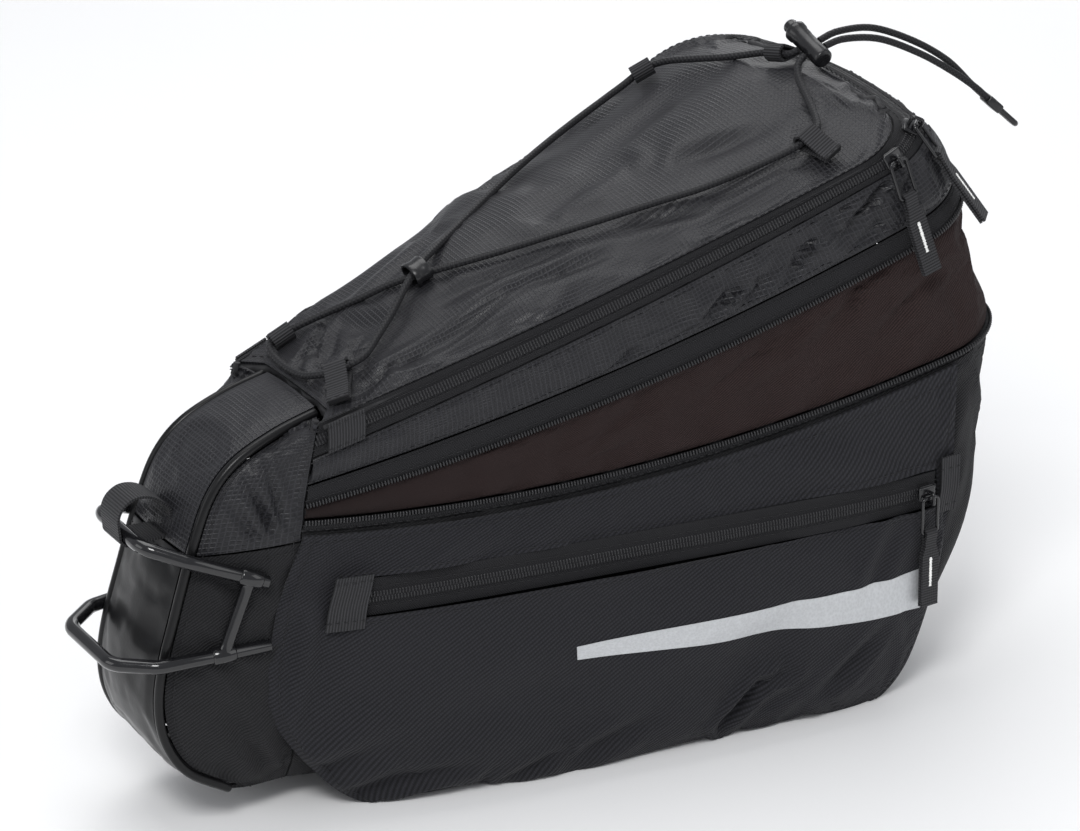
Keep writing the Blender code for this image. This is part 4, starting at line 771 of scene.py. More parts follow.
class Cloth:
    """A panel on a grid of points, with a normal at each and its lengths both ways."""

    def __init__(self, surface, rows, columns, outward):
        self.u, self.v = np.array(rows, float), np.array(columns, float)
        self.points = np.array([[surface(u, v) for v in self.v] for u in self.u], float)
        self.outward = np.array([[outward(Vector(p)) for p in row] for row in self.points], float)
        self.turn()
        middle = len(rows) // 2, len(columns) // 2
        self.long, self.tall = walked(self.points[middle[0]]), walked(self.points[:, middle[1]])

    def turn(self):
        """Works the normals out again."""
        along, across = np.gradient(self.points, axis=1), np.gradient(self.points, axis=0)
        normals = np.cross(along, across)
        normals /= np.maximum(np.linalg.norm(normals, axis=2, keepdims=True), 1e-12)
        sign = np.where((normals * self.outward).sum(axis=2, keepdims=True) < 0, -1, 1)
        self.normals = normals * sign

    def fade(self, width=FADE_WIDTH):
        """From 0 at the panel's edges, and where it is narrow, to 1 further in."""
        a = np.minimum(self.tall, self.tall[-1] - self.tall) / min(width, self.tall[-1] / 3)
        b = np.minimum(self.long, self.long[-1] - self.long) / min(width, self.long[-1] / 3)
        height = np.linalg.norm(self.points[-1] - self.points[0], axis=1)
        narrow = np.clip(height / NARROW_PANEL - 0.15, 0, 1)
        share = np.minimum(1, a)[:, None] * (np.minimum(1, b) * narrow)[None, :]
        return share * share * (3 - 2 * share)

    def push(self, height):
        """Moves each point along its normal."""
        self.points += self.normals * height[..., None]
        self.turn()

    def crease(self, name, amount, level="xz"):
        """Presses the panel's own creases in."""
        flat = self.points[..., [0, 2]] if level == "xz" else self.points[..., [0, 1]]
        height = np.zeros(flat.shape[:2])
        for x0, z0, x1, z1, width, depth in CREASES[name]:
            a, b = np.array((x0, z0)) / 1000, np.array((x1, z1)) / 1000
            t = np.clip(((flat - a) @ (b - a)) / ((b - a) @ (b - a)), 0, 1)
            away = np.linalg.norm(flat - a - t[..., None] * (b - a), axis=2)
            w = width / 2000
            ridge = np.exp(-(away / w) ** 2) - 0.55 * np.exp(-((away - 1.7 * w) / w) ** 2)
            height -= ridge * depth / 1000 * np.sin(pi * (0.12 + 0.76 * t))
        self.push(height * self.fade() * amount)

    def ripple(self, name, shift=0.0):
        """Uneven hand of the cloth: low noise, fading out at the seams."""
        depth, size, seed, stretch = RIPPLES[name]
        start = Vector((seed + shift, 0, 0))
        height = np.array([
            [noise.noise(Vector((p[0] * stretch, p[1], p[2] * 1.4)) / size + start) for p in row]
            for row in self.points
        ])
        self.push(height * depth * self.fade())

    def settle(self, name, sizes):
        """Lets the panel buckle as cloth that is cut a little too large for its seams."""
        share, cap = BUCKLES[name]
        rows, columns = len(self.u), len(self.v)
        mesh = bpy.data.meshes.new(name)
        faces = [(i * columns + j, i * columns + j + 1, (i + 1) * columns + j + 1, (i + 1) * columns + j)
                 for i in range(rows - 1) for j in range(columns - 1)]
        mesh.from_pydata(self.points.reshape(-1, 3).tolist(), [], faces)
        draped = bpy.data.objects.new(name, mesh)
        bpy.context.collection.objects.link(draped)
        pins = draped.vertex_groups.new(name="sewn")
        pins.add([i * columns + j for i in range(rows) for j in range(columns)
                  if i in (0, rows - 1) or j in (0, columns - 1)], 1.0, "REPLACE")
        cloth = draped.modifiers.new("cloth", "CLOTH")
        for key, value in {"vertex_group_mass": "sewn", "shrink_min": -sizes.slack * share, **HAND}.items():
            setattr(cloth.settings, key, value)
        cloth.settings.effector_weights.gravity = 0.0
        cloth.collision_settings.use_collision = False
        cloth.collision_settings.use_self_collision = False
        scene = bpy.context.scene
        for frame in range(1, SETTLE_FRAMES + 1):
            scene.frame_set(frame)
        graph = bpy.context.evaluated_depsgraph_get()
        shape = draped.evaluated_get(graph).to_mesh()
        found = np.zeros(len(shape.vertices) * 3)
        shape.vertices.foreach_get("co", found)
        moved = found.reshape(rows, columns, 3) - self.points
        far = np.linalg.norm(moved, axis=2, keepdims=True)
        self.points += moved * np.minimum(1, cap / np.maximum(far, 1e-9)) * self.fade(0.004)[..., None]
        self.turn()
        scene.frame_set(1)
        bpy.data.objects.remove(draped)
        bpy.data.meshes.remove(mesh)

    def at(self, u, v, lift=0.0):
        """A point of the panel as it now lies, at its own u and v, with its normal."""
        i, j = np.interp(u, self.u, range(len(self.u))), np.interp(v, self.v, range(len(self.v)))
        a, b = min(int(i), len(self.u) - 2), min(int(j), len(self.v) - 2)
        f, g = i - a, j - b
        spots = []
        for grid in (self.points, self.normals):
            low = grid[a, b] * (1 - g) + grid[a, b + 1] * g
            high = grid[a + 1, b] * (1 - g) + grid[a + 1, b + 1] * g
            spots.append(Vector(low * (1 - f) + high * f))
        normal = spots[1].normalized()
        return spots[0] + normal * lift, normal

    def line(self, start, end, count=60, lift=0.0):
        """Points and normals on a straight line over the panel, from one (u, v) to another."""
        return [self.at(lerp(start[0], end[0], k / count), lerp(start[1], end[1], k / count), lift)
                for k in range(count + 1)]

    def sewn(self, start, end, count):
        """A line of thread on the panel."""
        return self.line(start, end, count, THREAD_LIFT)

    def mesh(self, name, wall, holes=()):
        """The panel as a closed shell: its outside on the grid, its inside a wall below."""
        rows, columns = len(self.u), len(self.v)
        under = rows * columns
        inside = self.points - self.normals * wall
        points = np.concatenate([self.points.reshape(-1, 3), inside.reshape(-1, 3)])
        faces, rim = [], {}
        for i in range(rows - 1):
            for j in range(columns - 1):
                if (i, j) in holes:
                    continue
                a, b = i * columns + j, i * columns + j + 1
                c, d = b + columns, a + columns
                faces.append((a, b, c, d))
                faces.append((a + under, d + under, c + under, b + under))
                for start, end in ((a, b), (b, c), (c, d), (d, a)):
                    if (end, start) in rim:
                        del rim[(end, start)]
                    else:
                        rim[(start, end)] = True
        faces += [(b, a, a + under, b + under) for a, b in rim]
        spots = [(self.long[k % columns], self.tall[k % under // columns]) for k in range(2 * under)]
        return shell(name, points, faces, spots)


def corner_bump(cloth, level, reach):
    """From 1 at both rear corners, this share up a wall, to 0 away from them."""
    corner = (FLANK_STEPS + 0.6 * CORNER_STEPS) / (2 * HALF_STEPS)
    along = sum(np.exp(-((cloth.v - spot) / CORNER_REACH) ** 2) for spot in (corner, 1 - corner))
    up = np.exp(-((cloth.u - level) / reach) ** 2)
    return up[:, None] * along[None, :] * cloth.fade()


def shell(name, points, faces, spots=None, weld=False):
    """A mesh in the row frame with its faces pointing out, and its UV map in metres."""
    mesh = bpy.data.meshes.new(name)
    mesh.from_pydata([(p[0] + FRONT_X, p[1], p[2]) for p in points], [], faces)
    if spots:
        layer = mesh.uv_layers.new(name="cloth")
        index = np.zeros(len(mesh.loops), int)
        mesh.loops.foreach_get("vertex_index", index)
        layer.data.foreach_set("uv", np.array(spots, np.float32)[index].ravel())
    work = bmesh.new()
    work.from_mesh(mesh)
    bmesh.ops.delete(work, geom=[v for v in work.verts if not v.link_faces], context="VERTS")
    if weld:
        bmesh.ops.remove_doubles(work, verts=work.verts, dist=1e-6)
    bmesh.ops.recalc_face_normals(work, faces=work.faces)
    if work.calc_volume(signed=True) < 0:
        bmesh.ops.reverse_faces(work, faces=work.faces)
    work.to_mesh(mesh)
    work.free()
    return mesh


def put(name, mesh, finish, body="bag", nodes=(), angle=45):
    """A finished piece: its material, its body and the nodes that it stands for."""
    mesh.shade_smooth()
    mesh.set_sharp_from_angle(angle=radians(angle))
    mesh.materials.clear()
    mesh.materials.append(bpy.data.materials[f"bag_{finish}"])
    piece = bpy.data.objects.new(name, mesh)
    bpy.context.collection.objects.link(piece)
    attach(piece, body)
    if nodes:
        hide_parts(*nodes)
    return piece


def put_webbing(node, mesh, body="bag"):
    """A piece of webbing that stands for one node."""
    return put(f"{node}_webbing", mesh, "webbing", body, [node])


def steps(*marks):
    """Shares from mark to mark: (start, end, count) for each stretch, without repeats."""
    found = []
    for start, end, count in marks:
        found += [lerp(start, end, k / count) for k in range(count)]
    return found + [marks[-1][1]]


# Round things

def smooth_route(points):
    """Points about ROUTE_STEP apart on a smooth curve over the lid, through a route's points."""
    points = [over_lid(*point) for point in points]
    fine = np.array([share_along(points, k / 1200) for k in range(1201)])
    way = walked(fine)
    marks = np.linspace(0, way[-1], max(2, round(way[-1] / ROUTE_STEP)) + 1)
    return [Vector(p) for p in np.stack([np.interp(marks, way, fine[:, k]) for k in range(3)], axis=1)]


def rounded_route(corners, radius, count=8, closed=False):
    """Straight runs between corners, each corner turned on an arc of this radius."""
    route = []
    for i, corner in enumerate(corners):
        if not closed and i in (0, len(corners) - 1):
            route.append(corner.copy())
            continue
        a = (corners[i - 1] - corner).normalized()
        b = (corners[(i + 1) % len(corners)] - corner).normalized()
        half = a.angle(b) / 2
        centre = corner + (a + b).normalized() * radius / sin(half)
        start, end = corner + a * radius / tan(half), corner + b * radius / tan(half)
        for k in range(count + 1):
            route.append(centre + (start - centre).slerp(end - centre, k / count).normalized() * radius)
    return route


def flat_loop(start, end, half, radius, count):
    """A closed wire loop in the plane of x and y, from start to end along x and half as wide each way."""
    corners = [Vector((x, y, 0)) for x, y in ((start, -half), (end, -half), (end, half), (start, half))]
    return rounded_route(corners, radius, count, True)


def tube(name, route, radius, sides=12, closed=False, round_end=0.0):
    """A rod or cord along a route, with its length and girth as UV. A radius may be a list."""
    radii = list(radius) if isinstance(radius, (list, tuple)) else [radius] * len(route)
    centres, widths = list(route), list(radii)
    if round_end and not closed:
        first, last = (route[0] - route[1]).normalized(), (route[-1] - route[-2]).normalized()
        caps = [(cos(a), sin(a)) for a in (radians(30), radians(60), radians(82))]
        centres = [route[0] + first * round_end * s for c, s in caps[::-1]] + centres
        centres += [route[-1] + last * round_end * s for c, s in caps]
        widths = [radii[0] * c for c, s in caps[::-1]] + widths + [radii[-1] * c for c, s in caps]
    count = len(centres)
    points, spots, distance = [], [], 0.0
    up = Vector((0.03, 0.05, 1)).normalized()
    for i, spot in enumerate(centres):
        before = centres[(i - 1) % count] if closed or i else centres[i]
        after = centres[(i + 1) % count] if closed or i < count - 1 else centres[i]
        run = (after - before).normalized()
        side = run.cross(up)
        if side.length < 0.05:
            side = run.cross(Vector((0, 1, 0)))
        side.normalize()
        up = side.cross(run).normalized()
        distance += (spot - centres[i - 1]).length if i else 0.0
        for k in range(sides + 1):
            angle = 2 * pi * k / sides
            points.append(spot + (side * cos(angle) + up * sin(angle)) * widths[i])
            spots.append((distance, 2 * pi * radii[0] * k / sides))
    if closed:
        distance += (centres[0] - centres[-1]).length
        for k in range(sides + 1):
            points.append(points[k])
            spots.append((distance, 2 * pi * radii[0] * k / sides))
    rings = len(points) // (sides + 1)
    faces = []
    for i in range(rings - 1):
        for k in range(sides):
            a, b = i * (sides + 1) + k, i * (sides + 1) + k + 1
            faces.append((a, b, b + sides + 1, a + sides + 1))
    if not closed:
        faces.append(tuple(range(sides))[::-1])
        faces.append(tuple((rings - 1) * (sides + 1) + k for k in range(sides)))
    return shell(name, points, faces, spots, weld=True)


def join_meshes(name, meshes):
    """Several meshes as one."""
    work = bmesh.new()
    for mesh in meshes:
        work.from_mesh(mesh)
    joined = bpy.data.meshes.new(name)
    work.to_mesh(joined)
    work.free()
    return joined


def axes(x, y, origin):
    """A frame with its x axis along x, its y axis near y and its z axis square to both."""
    x = x.normalized()
    z = x.cross(y).normalized()
    turn = Matrix((x, z.cross(x), z)).transposed().to_4x4()
    return Matrix.Translation(origin) @ turn


def block(name, low, high, bevel, frame):
    """A moulded block between two corners with rounded edges, in a placed frame."""
    work = bmesh.new()
    bmesh.ops.create_cube(work, size=1.0)
    for v in work.verts:
        v.co = Vector(lerp(a, b, c + 0.5) for a, b, c in zip(low, high, v.co))
    bmesh.ops.bevel(work, geom=work.edges[:], offset=bevel, segments=3, affect="EDGES", profile=0.5)
    work.transform(Matrix.Translation((FRONT_X, 0, 0)) @ frame)
    mesh = bpy.data.meshes.new(name)
    work.to_mesh(mesh)
    work.free()
    return mesh


def ring_shell(name, rings, closed=False):
    """Rings of points joined one to the next: round to the first again, or else with a cap at each end."""
    count, sides = len(rings), len(rings[0])
    faces = []
    for i in range(count if closed else count - 1):
        for k in range(sides):
            n, m = (k + 1) % sides, (i + 1) % count
            faces.append((i * sides + k, i * sides + n, m * sides + n, m * sides + k))
    if not closed:
        faces.append(tuple(range(sides))[::-1])
        faces.append(tuple((count - 1) * sides + k for k in range(sides)))
    return shell(name, [p for ring in rings for p in ring], faces)


def round_angles(sides):
    """Angles round a full turn."""
    return [2 * pi * k / sides for k in range(sides)]


def turned(name, start, end, profile, radius):
    """A turned piece round the line from start to end: profile rows are shares of its length and radius."""
    frame = axes(end - start, Vector((0, 0.2, 1)), start)
    length = (end - start).length
    return ring_shell(name, [[frame @ Vector((length * s, r * radius * cos(a), r * radius * sin(a)))
                              for a in round_angles(28)] for s, r in profile])


# What repeats along a path

def path_tree():
    """Sets one small piece after another along each path, its x along the path and its z outwards."""
    found = bpy.data.node_groups.get("set_along_path")
    if found:
        return found
    tree = bpy.data.node_groups.new("set_along_path", "GeometryNodeTree")
    tree.interface.new_socket("Geometry", in_out="OUTPUT", socket_type="NodeSocketGeometry")
    for name, kind in (("Paths", "Geometry"), ("Piece", "Object"), ("Spacing", "Float"),
                       ("Unevenness", "Float"), ("Finish", "Material")):
        tree.interface.new_socket(name, in_out="INPUT", socket_type=f"NodeSocket{kind}")
    start = add(tree, "NodeGroupInput").outputs
    curve = add(tree, "GeometryNodeMeshToCurve", {0: start["Paths"]}).outputs[0]
    even = add(tree, "GeometryNodeResampleCurve", {"Curve": curve, "Length": start["Spacing"]}, mode="LENGTH")
    tangent = add(tree, "GeometryNodeInputTangent").outputs[0]
    outward = add(tree, "GeometryNodeInputNamedAttribute", {"Name": "outward"},
                  data_type="FLOAT_VECTOR").outputs[0]
    along = add(tree, "FunctionNodeAlignRotationToVector", {"Vector": tangent}, axis="X").outputs[0]
    lying = add(tree, "FunctionNodeAlignRotationToVector", {"Rotation": along, "Vector": outward},
                axis="Z", pivot_axis="X").outputs[0]
    piece = add(tree, "GeometryNodeObjectInfo", {"Object": start["Piece"]}).outputs["Geometry"]
    low = calculate(tree, "SUBTRACT", 1.0, start["Unevenness"])
    scale = add(tree, "FunctionNodeRandomValue", {2: low, 3: 1.0, "Seed": 7}, data_type="FLOAT").outputs[1]
    placed = add(tree, "GeometryNodeInstanceOnPoints", {"Points": even.outputs[0], "Instance": piece,
                                                       "Rotation": lying, "Scale": scale}).outputs[0]
    whole = add(tree, "GeometryNodeRealizeInstances", {0: placed}).outputs[0]
    dressed = add(tree, "GeometryNodeSetMaterial", {"Geometry": whole, "Material": start["Finish"]})
    add(tree, "NodeGroupOutput", {0: dressed.outputs[0]})
    return tree


def set_along(name, paths, mesh, spacing, finish, body="bag", unevenness=0.0):
    """Sets copies of a small mesh along paths, each a list of (point, outward) pairs."""
    points = [p for path in paths for p, n in path]
    edges, k = [], 0
    for path in paths:
        edges += [(k + i, k + i + 1) for i in range(len(path) - 1)]
        k += len(path)
    line = bpy.data.meshes.new(f"{name}_path")
    line.from_pydata([(p.x + FRONT_X, p.y, p.z) for p in points], edges, [])
    outward = line.attributes.new("outward", "FLOAT_VECTOR", "POINT")
    outward.data.foreach_set("vector", [c for path in paths for p, n in path for c in n])
    carrier = bpy.data.objects.new(f"{name}_path", line)
    pattern = bpy.data.objects.new(f"{name}_piece", mesh)
    for each in (carrier, pattern):
        bpy.context.collection.objects.link(each)
    tree = path_tree()
    spread = carrier.modifiers.new("spread", "NODES")
    spread.node_group = tree
    values = {"Piece": pattern, "Spacing": spacing, "Unevenness": unevenness,
              "Finish": bpy.data.materials[f"bag_{finish}"]}
    for socket in tree.interface.items_tree:
        if socket.name in values:
            spread[socket.identifier] = values[socket.name]
    graph = bpy.context.evaluated_depsgraph_get()
    made = bpy.data.meshes.new_from_object(carrier.evaluated_get(graph))
    for each in (carrier, pattern):
        bpy.data.objects.remove(each)
    made.name = name
    return put(name, made, finish, body, angle=60)


def grain(length, width, height):
    """A stitch or tooth: a small lens that lies along x, with its underside sunk in the cloth."""
    rings, sides = 3, 6
    points = [(-length / 2, 0, 0)]
    for i in range(rings):
        a = pi * (i + 1) / (rings + 1)
        for k in range(sides):
            b = 2 * pi * k / sides
            points.append((-length / 2 * cos(a), width / 2 * sin(a) * cos(b), height * sin(a) * sin(b)))
    points.append((length / 2, 0, 0))
    faces = [(0, 1 + (k + 1) % sides, 1 + k) for k in range(sides)]
    for i in range(rings - 1):
        for k in range(sides):
            a, b = 1 + i * sides + k, 1 + i * sides + (k + 1) % sides
            faces.append((a, b, b + sides, a + sides))
    last = 1 + (rings - 1) * sides
    faces += [(last + k, last + (k + 1) % sides, len(points) - 1) for k in range(sides)]
    mesh = bpy.data.meshes.new("grain")
    mesh.from_pydata(points, [], faces)
    return mesh


def coil_tooth(sizes):
    """One turn of a closed zip's coil, which lies across the chain."""
    tooth = grain(COIL_WIDTH, sizes.tooth * 0.75, COIL_RISE)
    tooth.transform(Matrix.Rotation(pi / 2, 4, "Z"))
    return tooth


def sew(name, paths, sizes):
    """Black topstitching along paths."""
    stitch = grain(sizes.stitch, sizes.thread, sizes.thread * 0.7)
    return set_along(name, paths, stitch, sizes.stitch + sizes.stitch_gap, "black_thread", "bag", 0.12)


def bind(name, lines, radius=BINDING):
    """Rolled binding under seams, so that no light comes through them."""
    tubes = [tube("binding", [p - n * radius * BINDING_DEPTH for p, n in line], radius, 8) for line in lines]
    return put(name, join_meshes(name, tubes), "black_thread")


def bar_tack(name, path, width, body):
    """A dense bar of thread across a strap: one short thread after another along the path."""
    return set_along(name, [path], grain(0.0007, width, 0.0004), 0.00055, "white_thread", body, 0.3)


def zip_rows(half):
    """Rows up a closed zip's tape, closer over the chain, which is half of this share high each way."""
    return steps((0, 0.5 - half, 5), (0.5 - half, 0.5 + half, 10), (0.5 + half, 1, 5))


def chain_bulge(u, half):
    """How far the chain lifts the tape at this share up it, from 0 to 1."""
    return max(0.0, 1 - (abs(u - 0.5) / half) ** 4) ** 0.5


# Operators

def camera_and_light(colours):
    """The camera at the photograph's angle, a pale floor and soft studio light."""
    scene = bpy.context.scene
    lens = bpy.data.cameras.new("studio_camera")
    lens.sensor_width, lens.lens = 36, CAMERA_LENS
    camera = bpy.data.objects.new("studio_camera", lens)
    camera.location = CAMERA_PLACE
    camera.rotation_euler = (CAMERA_TILT, 0, CAMERA_TURN)
    scene.collection.objects.link(camera)
    scene.camera = camera

    mesh = bpy.data.meshes.new("studio_floor")
    corners = [(x * FLOOR_REACH, y * FLOOR_REACH, 0) for x, y in ((-1, -1), (1, -1), (1, 1), (-1, 1))]
    mesh.from_pydata(corners, [], [(0, 1, 2, 3)])
    floor = bpy.data.objects.new("studio_floor", mesh)
    scene.collection.objects.link(floor)
    made, tree, shader = start_finish("painted_floor", colours.floor, 0.9)
    place = add(tree, "ShaderNodeTexCoord").outputs["Object"]
    cloud = speckle(tree, place, 1.5)
    pale = blend(tree, cloud, [c * 0.98 for c in colours.floor], colours.floor)
    tree.links.new(pale, shader.inputs["Base Color"])
    mesh.materials.append(made)

    world = bpy.data.worlds.new("studio_air")
    world.use_nodes = True
    for socket, value in enumerate((AIR_COLOUR, AIR_LIGHT)):
        world.node_tree.nodes["Background"].inputs[socket].default_value = value
    scene.world = world
    scene.view_settings.view_transform = "Standard"
    for name, place, aim, size, power in LIGHTS:
        lamp = bpy.data.lights.new(name, "AREA")
        lamp.size, lamp.energy = size, power
        light = bpy.data.objects.new(name, lamp)
        light.location = place
        light.rotation_euler = (Vector(aim) - Vector(place)).to_track_quat("-Z", "Y").to_euler()
        scene.collection.objects.link(light)


class BAG_OT_stage(bpy.types.Operator):
    """Set up the camera, the floor and the lights"""
    bl_idname = "bag.stage"
    bl_label = "Stage"

    def execute(self, context):
        make_finishes(context.scene.bag_colours)
        camera_and_light(context.scene.bag_colours)
        return {"FINISHED"}


class BAG_OT_walls(bpy.types.Operator):
    """Make the lower wall and the base"""
    bl_idname = "bag.walls"
    bl_label = "Walls and base"

    def execute(self, context):
        sizes = context.scene.bag_sizes
        rings = [lower_ring(row) for row in LOWER_RINGS] + [upper_ring("zip_foot")]

        def wall(u, v):
            spot = Vector(share_along([tuple(ring_spot(ring, v)[0]) for ring in rings], u))
            trim = SEAM if u == 0 else -SEAM if u == 1 else 0
            return spot + Vector((SEAM * (v in (0.0, 1.0)), 0, trim))

        cloth = Cloth(wall, steps((0, 1, 40)), steps((0, 0.5, 80), (0.5, 1, 80)), from_middle)
        cloth.push(CORNER_FULLNESS * corner_bump(cloth, 0.6, 0.25))
        cloth.crease("body_wall", sizes.crease)
        cloth.ripple("body_wall")
        cloth.settle("body_wall", sizes)
        put("wall", cloth.mesh("wall", CLOTH), "twill", nodes=["body_wall"])
        sew("wall_stitches", [cloth.sewn((0.965, 0.0), (0.965, 1.0), 240)], sizes)
        seam = [side_seam(), [p * Vector((1, -1, 1)) for p in side_seam()]]
        upright = [[(p, Vector((0, 1 if p.y > 0 else -1, 0))) for p in line] for line in seam]
        bind("wall_binding", [cloth.line((u, 0.0), (u, 1.0), 200) for u in (0.0, 1.0)] + upright)

        base = [ring_spot(rings[0], v) for v in steps((0, 0.5 - REAR_STEPS / 2 / HALF_STEPS, 60))]
        nose = Vector((band_point(0.0, CLOTH)[0].x + SEAM, -band_half(0.0) + PIPING / 2 + SEAM, 0))
        nose.z = base_height(nose.x)
        foot = side_foot() * Vector((1, -1, 1)) + Vector((0, SEAM, 0))
        edge = [nose.lerp(foot, k / 6) for k in range(6)] + [foot]
        edge += [p - n * SEAM for p, n in base]

        def under(u, v):
            k = u * (len(edge) - 1)
            i = min(int(k), len(edge) - 2)
            spot = edge[i].lerp(edge[i + 1], k - i)
            bulge = REAR_BULGE * (1 - v * v) * max(0.0, u * 8 - 7)
            return Vector((spot.x + bulge, -spot.y * v, spot.z))

        panel = Cloth(under, steps((0, 1, 66)), steps((-1, 1, 24)), lambda p: Vector((0, 0, -1)))
        put("base", panel.mesh("base", CLOTH), "twill", nodes=["base_panel"])
        return {"FINISHED"}


class BAG_OT_front(bpy.types.Operator):
    """Make the front band, its pipings and the panels beside it"""
    bl_idname = "bag.front"
    bl_label = "Front"

    def execute(self, context):
        sizes = context.scene.bag_sizes
        seam = band_share_at(BAND_SEAM * FRONT_HEIGHT)
        trim = seam * SEAM / (BAND_SEAM * FRONT_HEIGHT)

        def band(t, c):
            spot, turn = band_point(t)
            half = band_half(t) - PIPING / 2 - GAP
            return spot + Vector((0, half * c, 0)) + turn * 0.0016 * (1 - c * c)

        stitches = []
        for name, low, high, finish in (
            ("front_band_lower", 0.0, seam - trim, "satin"),
            ("front_band_upper", seam + trim, 0.994, "ripstop"),
        ):
            cloth = Cloth(band, steps((low, high, 60)), steps((-1, 1, 26)),
                          lambda p: p - Vector((MIDDLE_X, p.y, 0.06)))
            cloth.ripple(name)
            cloth.settle("front_band", sizes)
            put(f"{name}_cloth", cloth.mesh(name, CLOTH), finish, nodes=[name])
            stitches.append(cloth.sewn((low + 0.008, -0.98), (low + 0.008, 0.98), 30) if low else
                            cloth.sewn((high - 0.012, -0.98), (high - 0.012, 0.98), 30))
        line = side_seam()
        for word, side in SIDES:
            route = [band_point(t, PIPING * 0.36)[0] + Vector((0, side * band_half(t), 0))
                     for t in steps((0.0, BAND_HEAD, 90))]
            put(f"piping_cord_{word}", tube("piping", route, PIPING / 2, 14, round_end=0.001), "satin",
                nodes=[f"piping_{word}"])
            for level, low, high, finish in (("lower", 0.0, seam - trim, "twill"),
                                             ("upper", seam + trim, BAND_HEAD, "ripstop")):
                name = f"side_front_{level}_{word}"
                cloth = Cloth(lambda t, s: side_front_point(t, s, side, line), steps((low, high, 60)),
                              steps((0, 1, 30)), lambda p: Vector((0, side, 0.3)))
                cloth.crease("side_front", sizes.crease)
                cloth.ripple("side_front", side)
                cloth.settle("side_front", sizes)
                put(f"{name}_cloth", cloth.mesh(name, CLOTH), finish, nodes=[name])
                stitches.append(cloth.sewn((low, 0.93), (high, 0.93), 80))
                stitches.append(cloth.sewn((low, 0.06), (high, 0.06), 80))
                if level == "lower":
                    stitches.append(cloth.sewn((high - 0.012, 0.06), (high - 0.012, 0.93), 30))
        sew("front_stitches", stitches, sizes)
        across = [(band_point(seam)[0] + Vector((0, y, 0)), band_point(seam)[1]) for y in (-0.024, 0, 0.024)]
        down = [[(band_point(t)[0] + Vector((0, side * (band_half(t) - PIPING * 0.4), 0)), band_point(t)[1])
                 for t in steps((0.01, BAND_HEAD, 60))] for side in (-1, 1)]
        bind("front_binding", [across] + down)
        return {"FINISHED"}


class BAG_OT_expansion(bpy.types.Operator):
    """Make the gusset, the band above it and the open expansion zip"""
    bl_idname = "bag.expansion"
    bl_label = "Expansion"

    def execute(self, context):
        sizes = context.scene.bag_sizes
        rings = {name: upper_ring(name) for name in UPPER_RINGS}
        columns = steps((0, 0.5, 110), (0.5, 1, 110))
        stitches, teeth, edges = [], [], []

        def strip(low, high, puff):
            return lambda u, v: between(rings[low], rings[high], u, v, puff(u))

        for name, low, high, rise, finish, rows in (
            ("gusset", "zip_head", "gusset_top", 0.0020, "maroon_twill", 26),
            ("upper_band", "band_foot", "band_head", 0.0022, "ripstop", 18),
        ):
            cloth = Cloth(strip(low, high, lambda u: rise * 4 * u * (1 - u)), steps((0, 1, rows)), columns,
                          from_middle)
            if name == "gusset":
                cloth.push(-CORNER_FULLNESS * corner_bump(cloth, 0.5, 0.25))
            cloth.crease(name, sizes.crease)
            cloth.ripple(name)
            cloth.settle(name, sizes)
            put(f"{name}_cloth", cloth.mesh(name, CLOTH), finish, nodes=[name])
            edges += [cloth.line((u, 0.0), (u, 1.0), 220) for u in (0.0, 1.0)]
            if name == "upper_band":
                for u in (0.10, 0.90):
                    stitches.append(cloth.sewn((u, 0), (u, 1), 260))

        for name, low, high, edge in (("expansion_zip_lower", "zip_foot", "zip_head", 1),
                                      ("expansion_zip_upper", "gusset_top", "band_foot", 0)):
            tape = Cloth(strip(low, high, lambda u: ZIP_RISE * min(1.0, 2.2 * (u if edge else 1 - u))),
                         steps((0, 1, 10)), columns, from_middle)
            tape.ripple("expansion_zip")
            put(f"{name}_tape", tape.mesh(name, CLOTH), "zip_tape", nodes=[name])
            chain = 0.93 if edge else 0.07
            teeth.append(tape.line((chain, 0), (chain, 1), 500, 0.0006))
            for u in ((0.15, 0.72) if edge else (0.34, 0.85)):
                stitches.append(tape.sewn((u, 0), (u, 1), 260))
        tooth = grain(sizes.tooth * 0.8, COIL_WIDTH, 0.0009)
        set_along("expansion_teeth", teeth, tooth, sizes.tooth, "nylon_coil")
        sew("expansion_stitches", stitches, sizes)
        bind("expansion_binding", edges)
        return {"FINISHED"}


